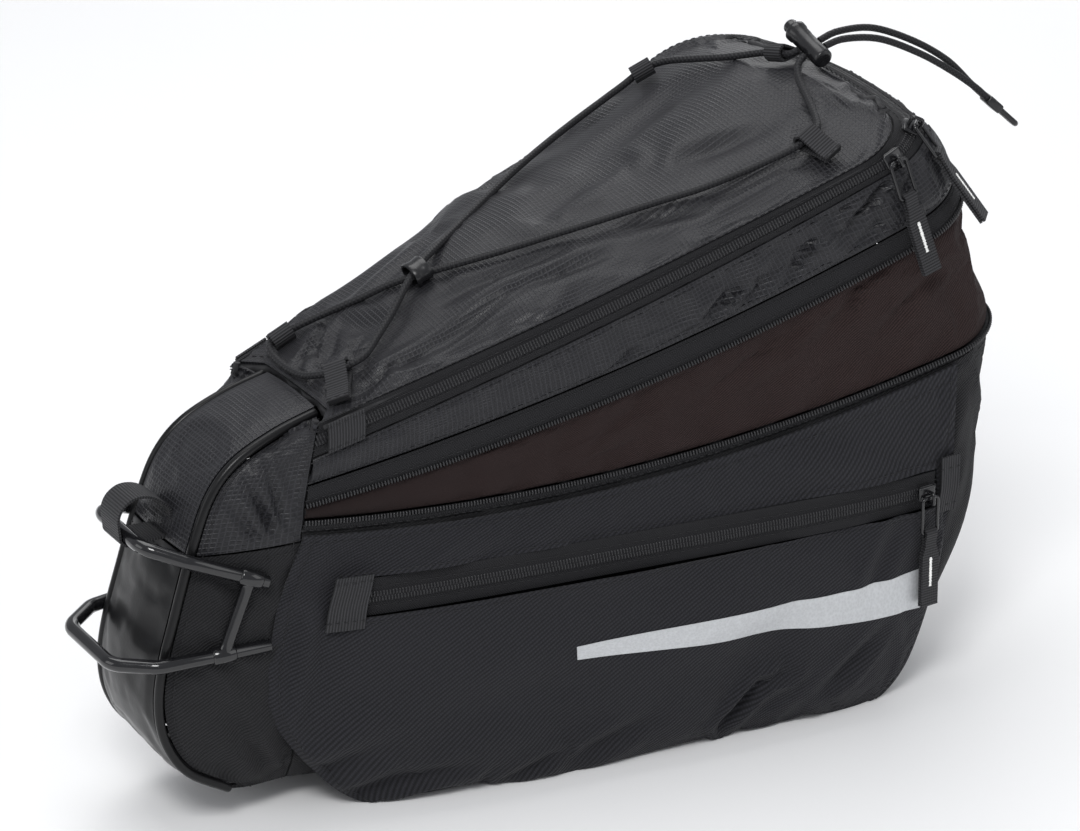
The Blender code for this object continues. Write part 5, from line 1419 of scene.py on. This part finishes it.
class BAG_OT_lid(bpy.types.Operator):
    """Make the lid, its zip and the tabs over the zip's ends"""
    bl_idname = "bag.lid"
    bl_label = "Lid"

    def execute(self, context):
        sizes = context.scene.bag_sizes
        rows = steps((0, 0.1, 10), (0.1, 1, 90))
        cloth = Cloth(lambda u, k: lid_point(u, sin(pi / 2 * k)), rows, steps((-1, 1, 64)),
                      lambda p: Vector((0, 0, 1)))
        # The stuffing lifts the right half between the cord and the seam
        x = cloth.points[..., 0]
        full = np.clip((x - 0.09) / 0.03, 0, 1) * np.clip((0.25 - x) / 0.05, 0, 1)
        cloth.push(STUFFING * full * np.exp(-((cloth.v - 0.66) / 0.18) ** 2)[None, :] * cloth.fade())
        cloth.crease("lid", sizes.crease, "xy")
        cloth.ripple("lid")
        cloth.settle("lid", sizes)
        put("lid_cloth", cloth.mesh("lid", LID_PADDING), "ripstop", nodes=["lid"], angle=60)
        stitches = [cloth.sewn((0.0, k), (1.0, k), 200) for k in (-0.94, 0.94)]
        stitches.append(cloth.sewn((0.012, -0.94), (0.012, 0.94), 60))
        stitches.append(cloth.sewn((0.985, -0.94), (0.985, 0.94), 80))
        edges = [cloth.line((0.0, k), (1.0, k), 200) for k in (-1, 1)] + [cloth.line((1.0, -1), (1.0, 1), 80)]
        bind("lid_binding", edges)
        bind("lid_front_binding", [cloth.line((0.0, -1), (0.0, 1), 60)], 0.0024)

        low, high = upper_ring("band_head"), upper_ring("lid_edge")
        width = (ring_spot(high, 0.25)[0] - ring_spot(low, 0.25)[0]).length
        half = ZIP_CHAIN / 2 / width

        def tape(u, v):
            return between(low, high, u, v, ZIP_RISE * 0.55 * chain_bulge(u, half))

        zip_tape = Cloth(tape, zip_rows(half), steps((0, 0.5, 110), (0.5, 1, 110)), from_middle)
        zip_tape.ripple("lid_zip")
        put("lid_zip_tape", zip_tape.mesh("lid_zip", CLOTH), "zip_tape", nodes=["lid_zip"])
        teeth = [zip_tape.line((u, 0), (u, 1), 500, -0.0003) for u in (0.5 - half * 0.42, 0.5 + half * 0.42)]
        set_along("lid_zip_teeth", teeth, coil_tooth(sizes), sizes.tooth, "nylon_coil")
        for u in (0.5 - half * 1.35, 0.5 + half * 1.35):
            stitches.append(zip_tape.sewn((u, 0), (u, 1), 260))
        sew("lid_stitches", stitches, sizes)

        tacks = []
        for word, side in SIDES:
            def tab(u, v):
                x = LID_FRONT * 0.935 + TAB_WIDTH * v
                ends = []
                for name in ("band_head", "lid_edge"):
                    lean = UPPER_RINGS[name][4] * WALL_LEAN
                    y = flank(x) - lean + ZIP_RISE + WEBBING + 2 * GAP
                    ends.append(Vector((x, y, line_height(name, x))))
                spot = ends[0].lerp(ends[1], lerp(0.06, 0.94, u))
                return (spot + Vector((0, 0.0006 * (1 - (2 * u - 1) ** 2), 0))) * Vector((1, side, 1))
            strap = Cloth(tab, steps((0, 1, 16)), steps((0, 1, 18)), lambda p: Vector((0, side, 0)))
            put_webbing(f"lid_zip_tab_{word}", strap.mesh("tab", WEBBING))
            for u in (0.12, 0.88):
                tacks.append(strap.sewn((u, 0.06), (u, 0.94), 14))
        sew("lid_tab_stitches", tacks, sizes)
        return {"FINISHED"}


class BAG_OT_pockets(bpy.types.Operator):
    """Make the pockets, their zips, tabs, garages and reflective strips"""
    bl_idname = "bag.pockets"
    bl_label = "Pockets"

    def execute(self, context):
        sizes = context.scene.bag_sizes
        count = len(POCKET_ROWS) - 1
        low, high = (k / count for k in POCKET_ZIP_ROWS)
        start, end = POCKET_ZIP_SPAN
        under, mouth, before, along = 56, 6, 8, 124
        rows = steps((0, low, under), (low, high, mouth), (high, 1, 16))
        columns = steps((0, start, before), (start, end, along), (end, 1, 4))
        holes = {(under + i, before + j) for i in range(mouth) for j in range(along)}
        width = (pocket_point(high, 0.5) - pocket_point(low, 0.5)).length
        half = ZIP_CHAIN / 2 / width
        for word, side in SIDES:
            flip = Vector((1, side, 1))

            def panel(t, s):
                spot = pocket_point(t, s) * flip
                inside = min(min(abs(t - low), abs(t - high)) / 0.02, 1.0)
                hem = 0.0010 * (1 - inside) if start < s < end else 0.0
                return spot + Vector((0, side * hem, 0))

            cloth = Cloth(panel, rows, columns,
                          lambda p: Vector((0, side, 0.2) if p.z > POCKET_DEPTH / 2 else (0, side / 2, -1)))
            x, t = cloth.points[..., 0], cloth.u[:, None]
            cloth.points[..., 2] += 0.003 * np.exp(-((x - 0.262) / 0.014) ** 2) * np.clip(1 - t / 0.3, 0, 1)
            cloth.turn()
            cloth.crease("pocket", sizes.crease)
            cloth.ripple("pocket")
            cloth.settle("pocket", sizes)
            cloth.points[..., 2] = np.maximum(cloth.points[..., 2], 0.0002)
            put(f"pocket_{word}_cloth", cloth.mesh("pocket", CLOTH, holes), "pocket_twill",
                nodes=[f"pocket_{word}"])
            stitches = [
                cloth.sewn((low - 0.012, start), (low - 0.012, end), 160),
                cloth.sewn((high + 0.012, start), (high + 0.012, end), 160),
                cloth.sewn((0.18, 0.016), (0.985, 0.016), 120),
                cloth.sewn((0.975, 0.0), (0.975, 0.99), 160),
                cloth.sewn((0.20, 0.990), (0.985, 0.990), 100),
                cloth.sewn((low - 0.012, start), (high + 0.012, start), 12),
            ]

            def tape(u, s):
                a, b = pocket_point(low, s), pocket_point(high, s)
                middle = pocket_point((low + high) / 2, s)
                rise = (middle - a.lerp(b, 0.5)).y * (1 - (2 * u - 1) ** 2)
                trim = min(SEAM / (b - a).length, MOST_TRIM)
                spot = a.lerp(b, lerp(trim, 1 - trim, u))
                return (spot + Vector((0, rise + ZIP_RISE * 0.5 * chain_bulge(u, half), 0))) * flip

            stop = end - 0.003
            zip_tape = Cloth(tape, zip_rows(half), steps((start, stop, 140)), lambda p: Vector((0, side, 0)))
            zip_tape.ripple("pocket_zip")
            put(f"pocket_zip_{word}_tape", zip_tape.mesh("pocket_zip", CLOTH), "zip_tape",
                nodes=[f"pocket_zip_{word}"])
            teeth = [zip_tape.line((u, start), (u, stop), 300, -0.0002)
                     for u in (0.5 - half * 0.42, 0.5 + half * 0.42)]
            set_along(f"pocket_{word}_teeth", teeth, coil_tooth(sizes), sizes.tooth, "nylon_coil")
            for u in (0.5 - half * 1.4, 0.5 + half * 1.4):
                stitches.append(zip_tape.sewn((u, start), (u, stop), 160))

            for name, s0, across, lift in (
                ("pocket_zip_tab", TAB_START, TAB_WIDTH, ZIP_RISE + WEBBING + 2 * GAP),
                ("zip_garage", GARAGE_START, GARAGE_WIDTH, WEBBING + 3 * GAP),
            ):
                step = across / (BODY_LENGTH * 0.79)
                reach = (high - low) * 0.12

                def tab(u, v):
                    spot = pocket_point(lerp(low - reach, high + reach, u), s0 + step * v)
                    return (spot + Vector((0, lift + 0.0005 * (1 - (2 * u - 1) ** 2), 0))) * flip

                strap = Cloth(tab, steps((0, 1, 16)), steps((0, 1, 16)), lambda p: Vector((0, side, 0)))
                put_webbing(f"{name}_{word}", strap.mesh(name, WEBBING))
                for u in (0.10, 0.90):
                    stitches.append(strap.sewn((u, 0.06), (u, 0.94), 14))

            def foil(u, v):
                x = lerp(*STRIP_SPAN, v) * BODY_LENGTH
                height = lerp(STRIP_TOP - lerp(*STRIP_HEIGHTS, v), STRIP_TOP, u)
                return cloth.at(*cloth_place(height, x), 0.0004)[0]

            strip = Cloth(foil, steps((0, 1, 10)), steps((0, 1, 60)), lambda p: Vector((0, side, 0)))
            put(f"reflective_strip_{word}_tape", strip.mesh("strip", 0.0003), "reflective_tape",
                nodes=[f"reflective_strip_{word}"])
            sew(f"pocket_{word}_stitches", stitches, sizes)
        return {"FINISHED"}


def cloth_place(z, x):
    """Where the pocket has this height at this x, as its t and s."""
    low, high = 1 / (len(POCKET_ROWS) - 1), POCKET_ZIP_ROWS[1] / (len(POCKET_ROWS) - 1)
    for _ in range(26):
        t = (low + high) / 2
        row = share_along(POCKET_ROWS, t)
        first, last = row[2] * LID_FRONT, row[4] * BODY_LENGTH
        s = min(max((x - first) / (last - first), 0.0), 1.0)
        if pocket_point(t, s).z < z:
            low = t
        else:
            high = t
    return t, s


def folded_strap(name, frame, reach, core, width, wall, neck=None):
    """Webbing folded round a cord or bar: x runs from its sewn end to the fold, z up, y across."""
    pinch, ring = wall + GAP, core + wall
    throat = max(reach - 2.6 * ring, 0.3 * reach)
    path = [(0.0, -pinch), (throat * 0.5, -pinch), (throat, -pinch)]
    path += [(reach + ring * sin(a), -ring * cos(a)) for a in (pi * k / 8 for k in range(9))]
    path += [(throat, pinch), (throat * 0.5, pinch), (0.0, pinch)]
    path = [(*p, 0.0) for p in path]

    def spot(u, v):
        x, z, _ = share_along(path, u)
        share = min(max((x - throat * 0.86) / (throat * 0.1), 0), 1)
        half = lerp(width, neck or width, share) / 2
        return frame @ Vector((x, half * v, z))

    centre = frame @ Vector((reach * 0.6, 0, 0))
    cloth = Cloth(spot, steps((0, 1, 70)), steps((-1, 1, 8)), lambda p: p - centre)
    turn = frame.to_3x3()
    for i, u in enumerate(cloth.u):
        a, b = share_along(path, u - 0.01), share_along(path, u + 0.01)
        out = turn @ Vector((b[1] - a[1], 0, -(b[0] - a[0]))).normalized()
        cloth.normals[i, :] = out
    return cloth


def swap_uv(mesh):
    """Turns the weave by a quarter, so that ribs run across the strap."""
    layer = mesh.uv_layers["cloth"].data
    found = np.zeros(len(layer) * 2, np.float32)
    layer.foreach_get("uv", found)
    layer.foreach_set("uv", found.reshape(-1, 2)[:, ::-1].ravel())
    return mesh


class BAG_OT_cord(bpy.types.Operator):
    """Make the bungee cord, its loops, its clip, its lock and its tails"""
    bl_idname = "bag.cord"
    bl_label = "Bungee cord"

    def execute(self, context):
        sizes = context.scene.bag_sizes
        route = smooth_route(BUNGEE_ROUTE)
        braid = tube("bungee", route, CORD / 2, 14, round_end=0.0002)
        put("bungee_braid", braid, "braid", nodes=["bungee_cord"])
        out = TAIL_OUT.normalized()
        end = axes(out, TAIL_SIDE.normalized(), over_lid(*TAIL_END) + out * GAP)
        clamp = block("clamp", (0, -CORD - CLIP_WALL, -CORD / 2 - CLIP_WALL / 2),
                      (END_CLAMP, CORD + CLIP_WALL, CORD / 2 + CLIP_WALL / 2), 0.0009, end)
        path = [end @ p for p in flat_loop(END_CLAMP * 0.6, END_LENGTH, END_WIDTH, END_WIDTH * 0.95, 8)]
        loop = tube("end_loop", path, CORD / 2.4, 12, True)
        fitting = put("cord_end_clamp", join_meshes("cord_end", [clamp, loop]), "acetal", nodes=["cord_end"])
        for word, points in (("left", TAIL_LEFT), ("right", TAIL_RIGHT)):
            path = smooth_route(points)
            tail = put(f"bungee_tail_{word}_braid", tube("tail", path, CORD / 2, 14), "braid",
                       nodes=[f"bungee_tail_{word}"])

        tacks = []
        for name, k, (x, y) in CORD_LOOPS:
            before, fold, after = (over_lid(*BUNGEE_ROUTE[i]) for i in (k - 1, k, k + 1))
            cord = (after - before).normalized()
            run = fold - over_lid(x, y, 3 * WEBBING)
            across = cord if Vector((0, 0, 1)).cross(run).dot(cord) > 0 else -cord
            along = run - across * run.dot(across)
            frame = axes(along, across, fold - along)
            strap = folded_strap(name, frame, along.length, CORD / 2 + LOOP_PLAY, LOOP_WIDTH, WEBBING)
            put_webbing(f"cord_loop_{name}", swap_uv(strap.mesh("loop", WEBBING)))
            tacks.append(strap.sewn((0.97, -0.8), (0.97, 0.8), 10))
        sew("loop_stitches", tacks, sizes)

        low, high = (over_lid(*BUNGEE_ROUTE[k]) for k in CLIP_POINTS)
        runs = [(over_lid(*BUNGEE_ROUTE[k + 1]) - over_lid(*BUNGEE_ROUTE[k - 1])).normalized()
                for k in CLIP_POINTS]
        frame = axes(runs[1] - runs[0], Vector((0, 1, 0)), low.lerp(high, 0.5))
        rings = []
        for share, grow in CLIP_PROFILE:
            wide, tall = (bore / 2 + CLIP_WALL * grow for bore in CLIP_BORE)
            rings.append([frame @ Vector((share * CLIP_LENGTH / 2, wide * cos(a), tall * sin(a)))
                          for a in round_angles(32)])
        put("cross_clip_moulding", ring_shell("clip", rings, True), "acetal", nodes=["cord_cross_clip"])

        barrel_foot, barrel_head = over_lid(*LOCK_FOOT), over_lid(*LOCK_HEAD)
        run = (barrel_head - barrel_foot).normalized()
        barrel = turned("barrel", barrel_foot, barrel_head, BARREL_PROFILE, LOCK_RADIUS)
        put("lock_barrel_moulding", barrel, "acetal", nodes=["cord_lock_barrel"], angle=60)
        button = turned("button", barrel_head - run * 0.005, barrel_head + run * BUTTON_RISE, BUTTON_PROFILE,
                        BUTTON_RADIUS)
        put("lock_button_moulding", button, "acetal", "lock_button", ["cord_lock_button"], angle=60)
        return {"FINISHED"}


def zip_seat(foot, head, along, outward, rise):
    """A slider's seat between a zip's lower and upper edge: x down the tape, y along the chain."""
    out = (foot - head).cross(along).normalized()
    if out.dot(outward) < 0:
        out.negate()
    down = along.cross(out)
    if down.z > 0:
        down.negate()
    return axes(down, out.cross(down), foot.lerp(head, 0.5) + out * rise)


def make_slider(name, seat, hang):
    """A die-cast slider with a wedge body and bridge, its wire loop and its webbing pull."""
    body = block(name, (-SLIDER.y / 2, -SLIDER.x / 2, SLIDER_LIFT - 0.0003),
                 (SLIDER.y / 2, SLIDER.x / 2, SLIDER.z), 0.0010, seat)
    rim = block(name, (-SLIDER.y / 2 - 0.0003, -SLIDER.x / 2 + 0.001, SLIDER_LIFT - 0.0004),
                (SLIDER.y / 2 + 0.0003, SLIDER.x / 2 - 0.001, SLIDER.z * 0.62), 0.0005, seat)
    wall = PULL_WIRE / 2
    reach, top = SLIDER_EYE / 2 + wall, SLIDER.z + SLIDER_EYE + wall
    foot = (SLIDER_LIFT + SLIDER.z) / 2
    corners = [Vector((EYE_SHIFT + x, 0, z))
               for x, z in ((-reach, foot), (-reach, top), (reach, top), (reach, foot))]
    bridge = tube("bridge", [seat @ p for p in rounded_route(corners, wall * 1.6, 6)], wall, 12)
    put(f"{name}_slider_casting", join_meshes(name, [body, rim, bridge]), "enamel", nodes=[f"{name}_slider"])

    pull_body = f"{name}_pull"
    eye = seat @ Vector((EYE_SHIFT, 0, SLIDER.z + SLIDER_EYE / 2))
    pull = axes(hang, seat.to_3x3() @ Vector((0, 1, 0)), eye)
    half, length = PULL_LOOP.x / 2, PULL_LOOP.y
    wire = tube("pull_loop", [pull @ p for p in flat_loop(0, length, half, PULL_WIRE, 6)], wall, 12, True)
    put(f"{name}_loop_wire", wire, "enamel", pull_body, [f"{name}_pull_loop"])
    sewn = pull @ Vector((length + PULL_STRAP.y, 0, 0))
    turn = pull.to_3x3()
    back = axes(-(turn @ Vector((1, 0, 0))), turn @ Vector((0, 1, 0)), sewn)
    strap = folded_strap(name, back, PULL_STRAP.y, wall + GAP, PULL_STRAP.x, PULL_STRAP.z / 2,
                         PULL_LOOP.x - 3 * PULL_WIRE / 2)
    put(f"{name}_strap_webbing", swap_uv(strap.mesh("strap", PULL_STRAP.z / 2)), "webbing", pull_body,
        [f"{name}_pull_strap"])
    for number, u in enumerate((0.05, 0.89)):
        path = strap.sewn((u, 0.0), (u + 0.06, 0.0), 20)
        bar_tack(f"{name}_bar_tack_{number}", path, 0.0020, pull_body)


class BAG_OT_pulls(bpy.types.Operator):
    """Make the zip sliders and their pulls"""
    bl_idname = "bag.pulls"
    bl_label = "Sliders and pulls"

    def execute(self, context):
        low, high = upper_ring("band_head"), upper_ring("lid_edge")
        for name, round_corner, out, back in LID_PULLS:
            column = FLANK_STEPS + CORNER_STEPS * round_corner
            i, f = int(column), column % 1
            ends = [[ring_spot(ring, k / (2 * HALF_STEPS)) for k in (i, i + 1)] for ring in (low, high)]
            foot, head = (pair[0][0].lerp(pair[1][0], f) for pair in ends)
            along = ends[0][1][0] - ends[0][0][0] + ends[1][1][0] - ends[1][0][0]
            turn = (ends[0][0][1].lerp(ends[0][1][1], f) + Vector((0, 0, 0.2))).normalized()
            hang = Vector((turn.x, turn.y, 0)).normalized() * out + Vector((back, 0, -1))
            make_slider(name, zip_seat(foot, head, along, turn, ZIP_RISE), hang.normalized())
        s, out, back = POCKET_PULL
        low, high = (k / (len(POCKET_ROWS) - 1) for k in POCKET_ZIP_ROWS)
        for word, side in SIDES:
            flip = Vector((1, side, 1))
            foot, head = pocket_point(low, s) * flip, pocket_point(high, s) * flip
            along = (pocket_point(low, s + 0.01) - pocket_point(low, s - 0.01)) * flip
            seat = zip_seat(foot, head, along, Vector((0, side, 0)), 0.0)
            bulge = seat.to_3x3().transposed() @ (pocket_point((low + high) / 2, s) * flip - seat.translation)
            seat = seat @ Matrix.Translation((0, 0, bulge.z + ZIP_RISE))
            make_slider(f"pocket_{word}", seat, Vector((back, side * out, -1)).normalized())
        return {"FINISHED"}


class BAG_OT_frame(bpy.types.Operator):
    """Make the wire frame and the strap that holds it to the bag"""
    bl_idname = "bag.frame"
    bl_label = "Wire frame"

    def execute(self, context):
        sizes = context.scene.bag_sizes
        bows, rods = [], []
        for height, heel_height in ((UPPER_BOW, UPPER_HEEL), (LOWER_BOW, LOWER_HEEL)):
            t = band_share_at(height)
            front = band_point(t)[0]
            y = band_half(t) + PIPING / 2 + ROD / 2 + 3 * GAP
            half = [Vector((FRAME_HEEL, -(flank(FRAME_HEEL) + ROD / 2 + 3 * GAP), heel_height)),
                    Vector((front.x - BOW_REACH * 0.2, -y, lerp(height, heel_height, 0.3))),
                    Vector((front.x - BOW_REACH, -BOW_WIDTH / 2, height))]
            bows.append(half)
            corners = half + [p * Vector((1, -1, 1)) for p in half[::-1]]
            rods.append(tube("bow", rounded_route(corners, BOW_CORNER, 12), ROD / 2, 20, round_end=0.0008))
        for side in (-1, 1):
            flip = Vector((1, -side, 1))
            top, foot = (bow[0].lerp(bow[1], share) * flip
                         for bow, share in zip(bows, (STRUT_TOP, STRUT_FOOT)))
            run = foot - top
            bead = [(k, ROD / 2.2 * (1 + 0.35 * (abs(2 * k - 1) ** 10))) for k in steps((0, 1, 24))]
            rods.append(tube("strut", [top + run * k for k, r in bead], [r for k, r in bead], 20))
            for spot, way in ((top, bows[0][1] - bows[0][0]), (foot, bows[1][1] - bows[1][0])):
                way = (way * flip).normalized() * 0.0045
                rods.append(tube("collar", [spot - way, spot + way], ROD * 0.62, 20, round_end=0.0012))
        put("frame_rods", join_meshes("frame_rods", rods), "rod_enamel", nodes=["wire_frame"], angle=60)

        seat = band_point(band_share_at(UPPER_BOW))[0]
        bar = Vector((seat.x - BOW_REACH, 0, UPPER_BOW))
        ring, lift = ROD / 2 + STRAP_SLACK, 2 * GAP
        path = [band_point(band_share_at(UPPER_BOW - ring * 1.1), -lift)[0]]
        turn = [radians(d) for d in range(-60, -216, -26)]
        path += [bar + Vector((ring * cos(a), 0, ring * sin(a))) for a in turn]
        top = band_point(band_share_at(UPPER_BOW + ring * 1.4), -lift * 4)[0]
        arch = ((-0.25, 0.50), (-0.12, 0.82), (0.14, 1.0), (0.45, 0.98), (0.74, 0.80))
        path += [bar + Vector((x * BOW_REACH, 0, z * STRAP_RISE)) for x, z in arch]
        path += [top, band_point(band_share_at(UPPER_BOW + ring * 0.2), -lift)[0]]
        path = [tuple(p) for p in path]
        strap = Cloth(lambda u, v: Vector(share_along(path, u)) + Vector((0, TAB_WIDTH / 2 * v, 0)),
                      steps((0, 1, 120)), steps((-1, 1, 12)), lambda p: p - bar)
        for i, u in enumerate(strap.u):
            run = Vector(share_along(path, u + 0.005)) - Vector(share_along(path, u - 0.005))
            strap.normals[i, :] = Vector((-run.z, 0, run.x)).normalized()
        put_webbing("frame_strap", swap_uv(strap.mesh("frame_strap", WEBBING)))
        lines = [strap.sewn((u, -0.85), (u, 0.85), 12) for u in (0.95, 0.985)]
        sew("frame_strap_stitches", lines, sizes)
        return {"FINISHED"}


OPERATORS = (BAG_OT_stage, BAG_OT_cord, BAG_OT_walls, BAG_OT_front, BAG_OT_expansion, BAG_OT_lid,
             BAG_OT_pockets, BAG_OT_pulls, BAG_OT_frame)


class BAG_PT_pieces(bpy.types.Panel):
    """Lists the bag's pieces, sizes and colours"""
    bl_idname = "BAG_PT_pieces"
    bl_label = "Seat post bag"
    bl_space_type = "VIEW_3D"
    bl_region_type = "UI"
    bl_category = "Bag"

    def draw(self, context):
        for operator in OPERATORS:
            self.layout.operator(operator.bl_idname)
        for group in (context.scene.bag_sizes, context.scene.bag_colours):
            for key in group.bl_rna.properties.keys():
                if key not in ("rna_type", "name"):
                    self.layout.prop(group, key)


CLASSES = (BagColours, BagSizes, *OPERATORS, BAG_PT_pieces)


def register():
    for each in CLASSES:
        bpy.utils.register_class(each)
    bpy.types.Scene.bag_colours = bpy.props.PointerProperty(type=BagColours)
    bpy.types.Scene.bag_sizes = bpy.props.PointerProperty(type=BagSizes)


def unregister():
    del bpy.types.Scene.bag_sizes
    del bpy.types.Scene.bag_colours
    for each in reversed(CLASSES):
        bpy.utils.unregister_class(each)


def main():
    register()
    for operator in OPERATORS:
        getattr(bpy.ops.bag, operator.bl_idname.split(".")[1])()
    bpy.context.view_layer.update()


if __name__ == "__main__":
    main()
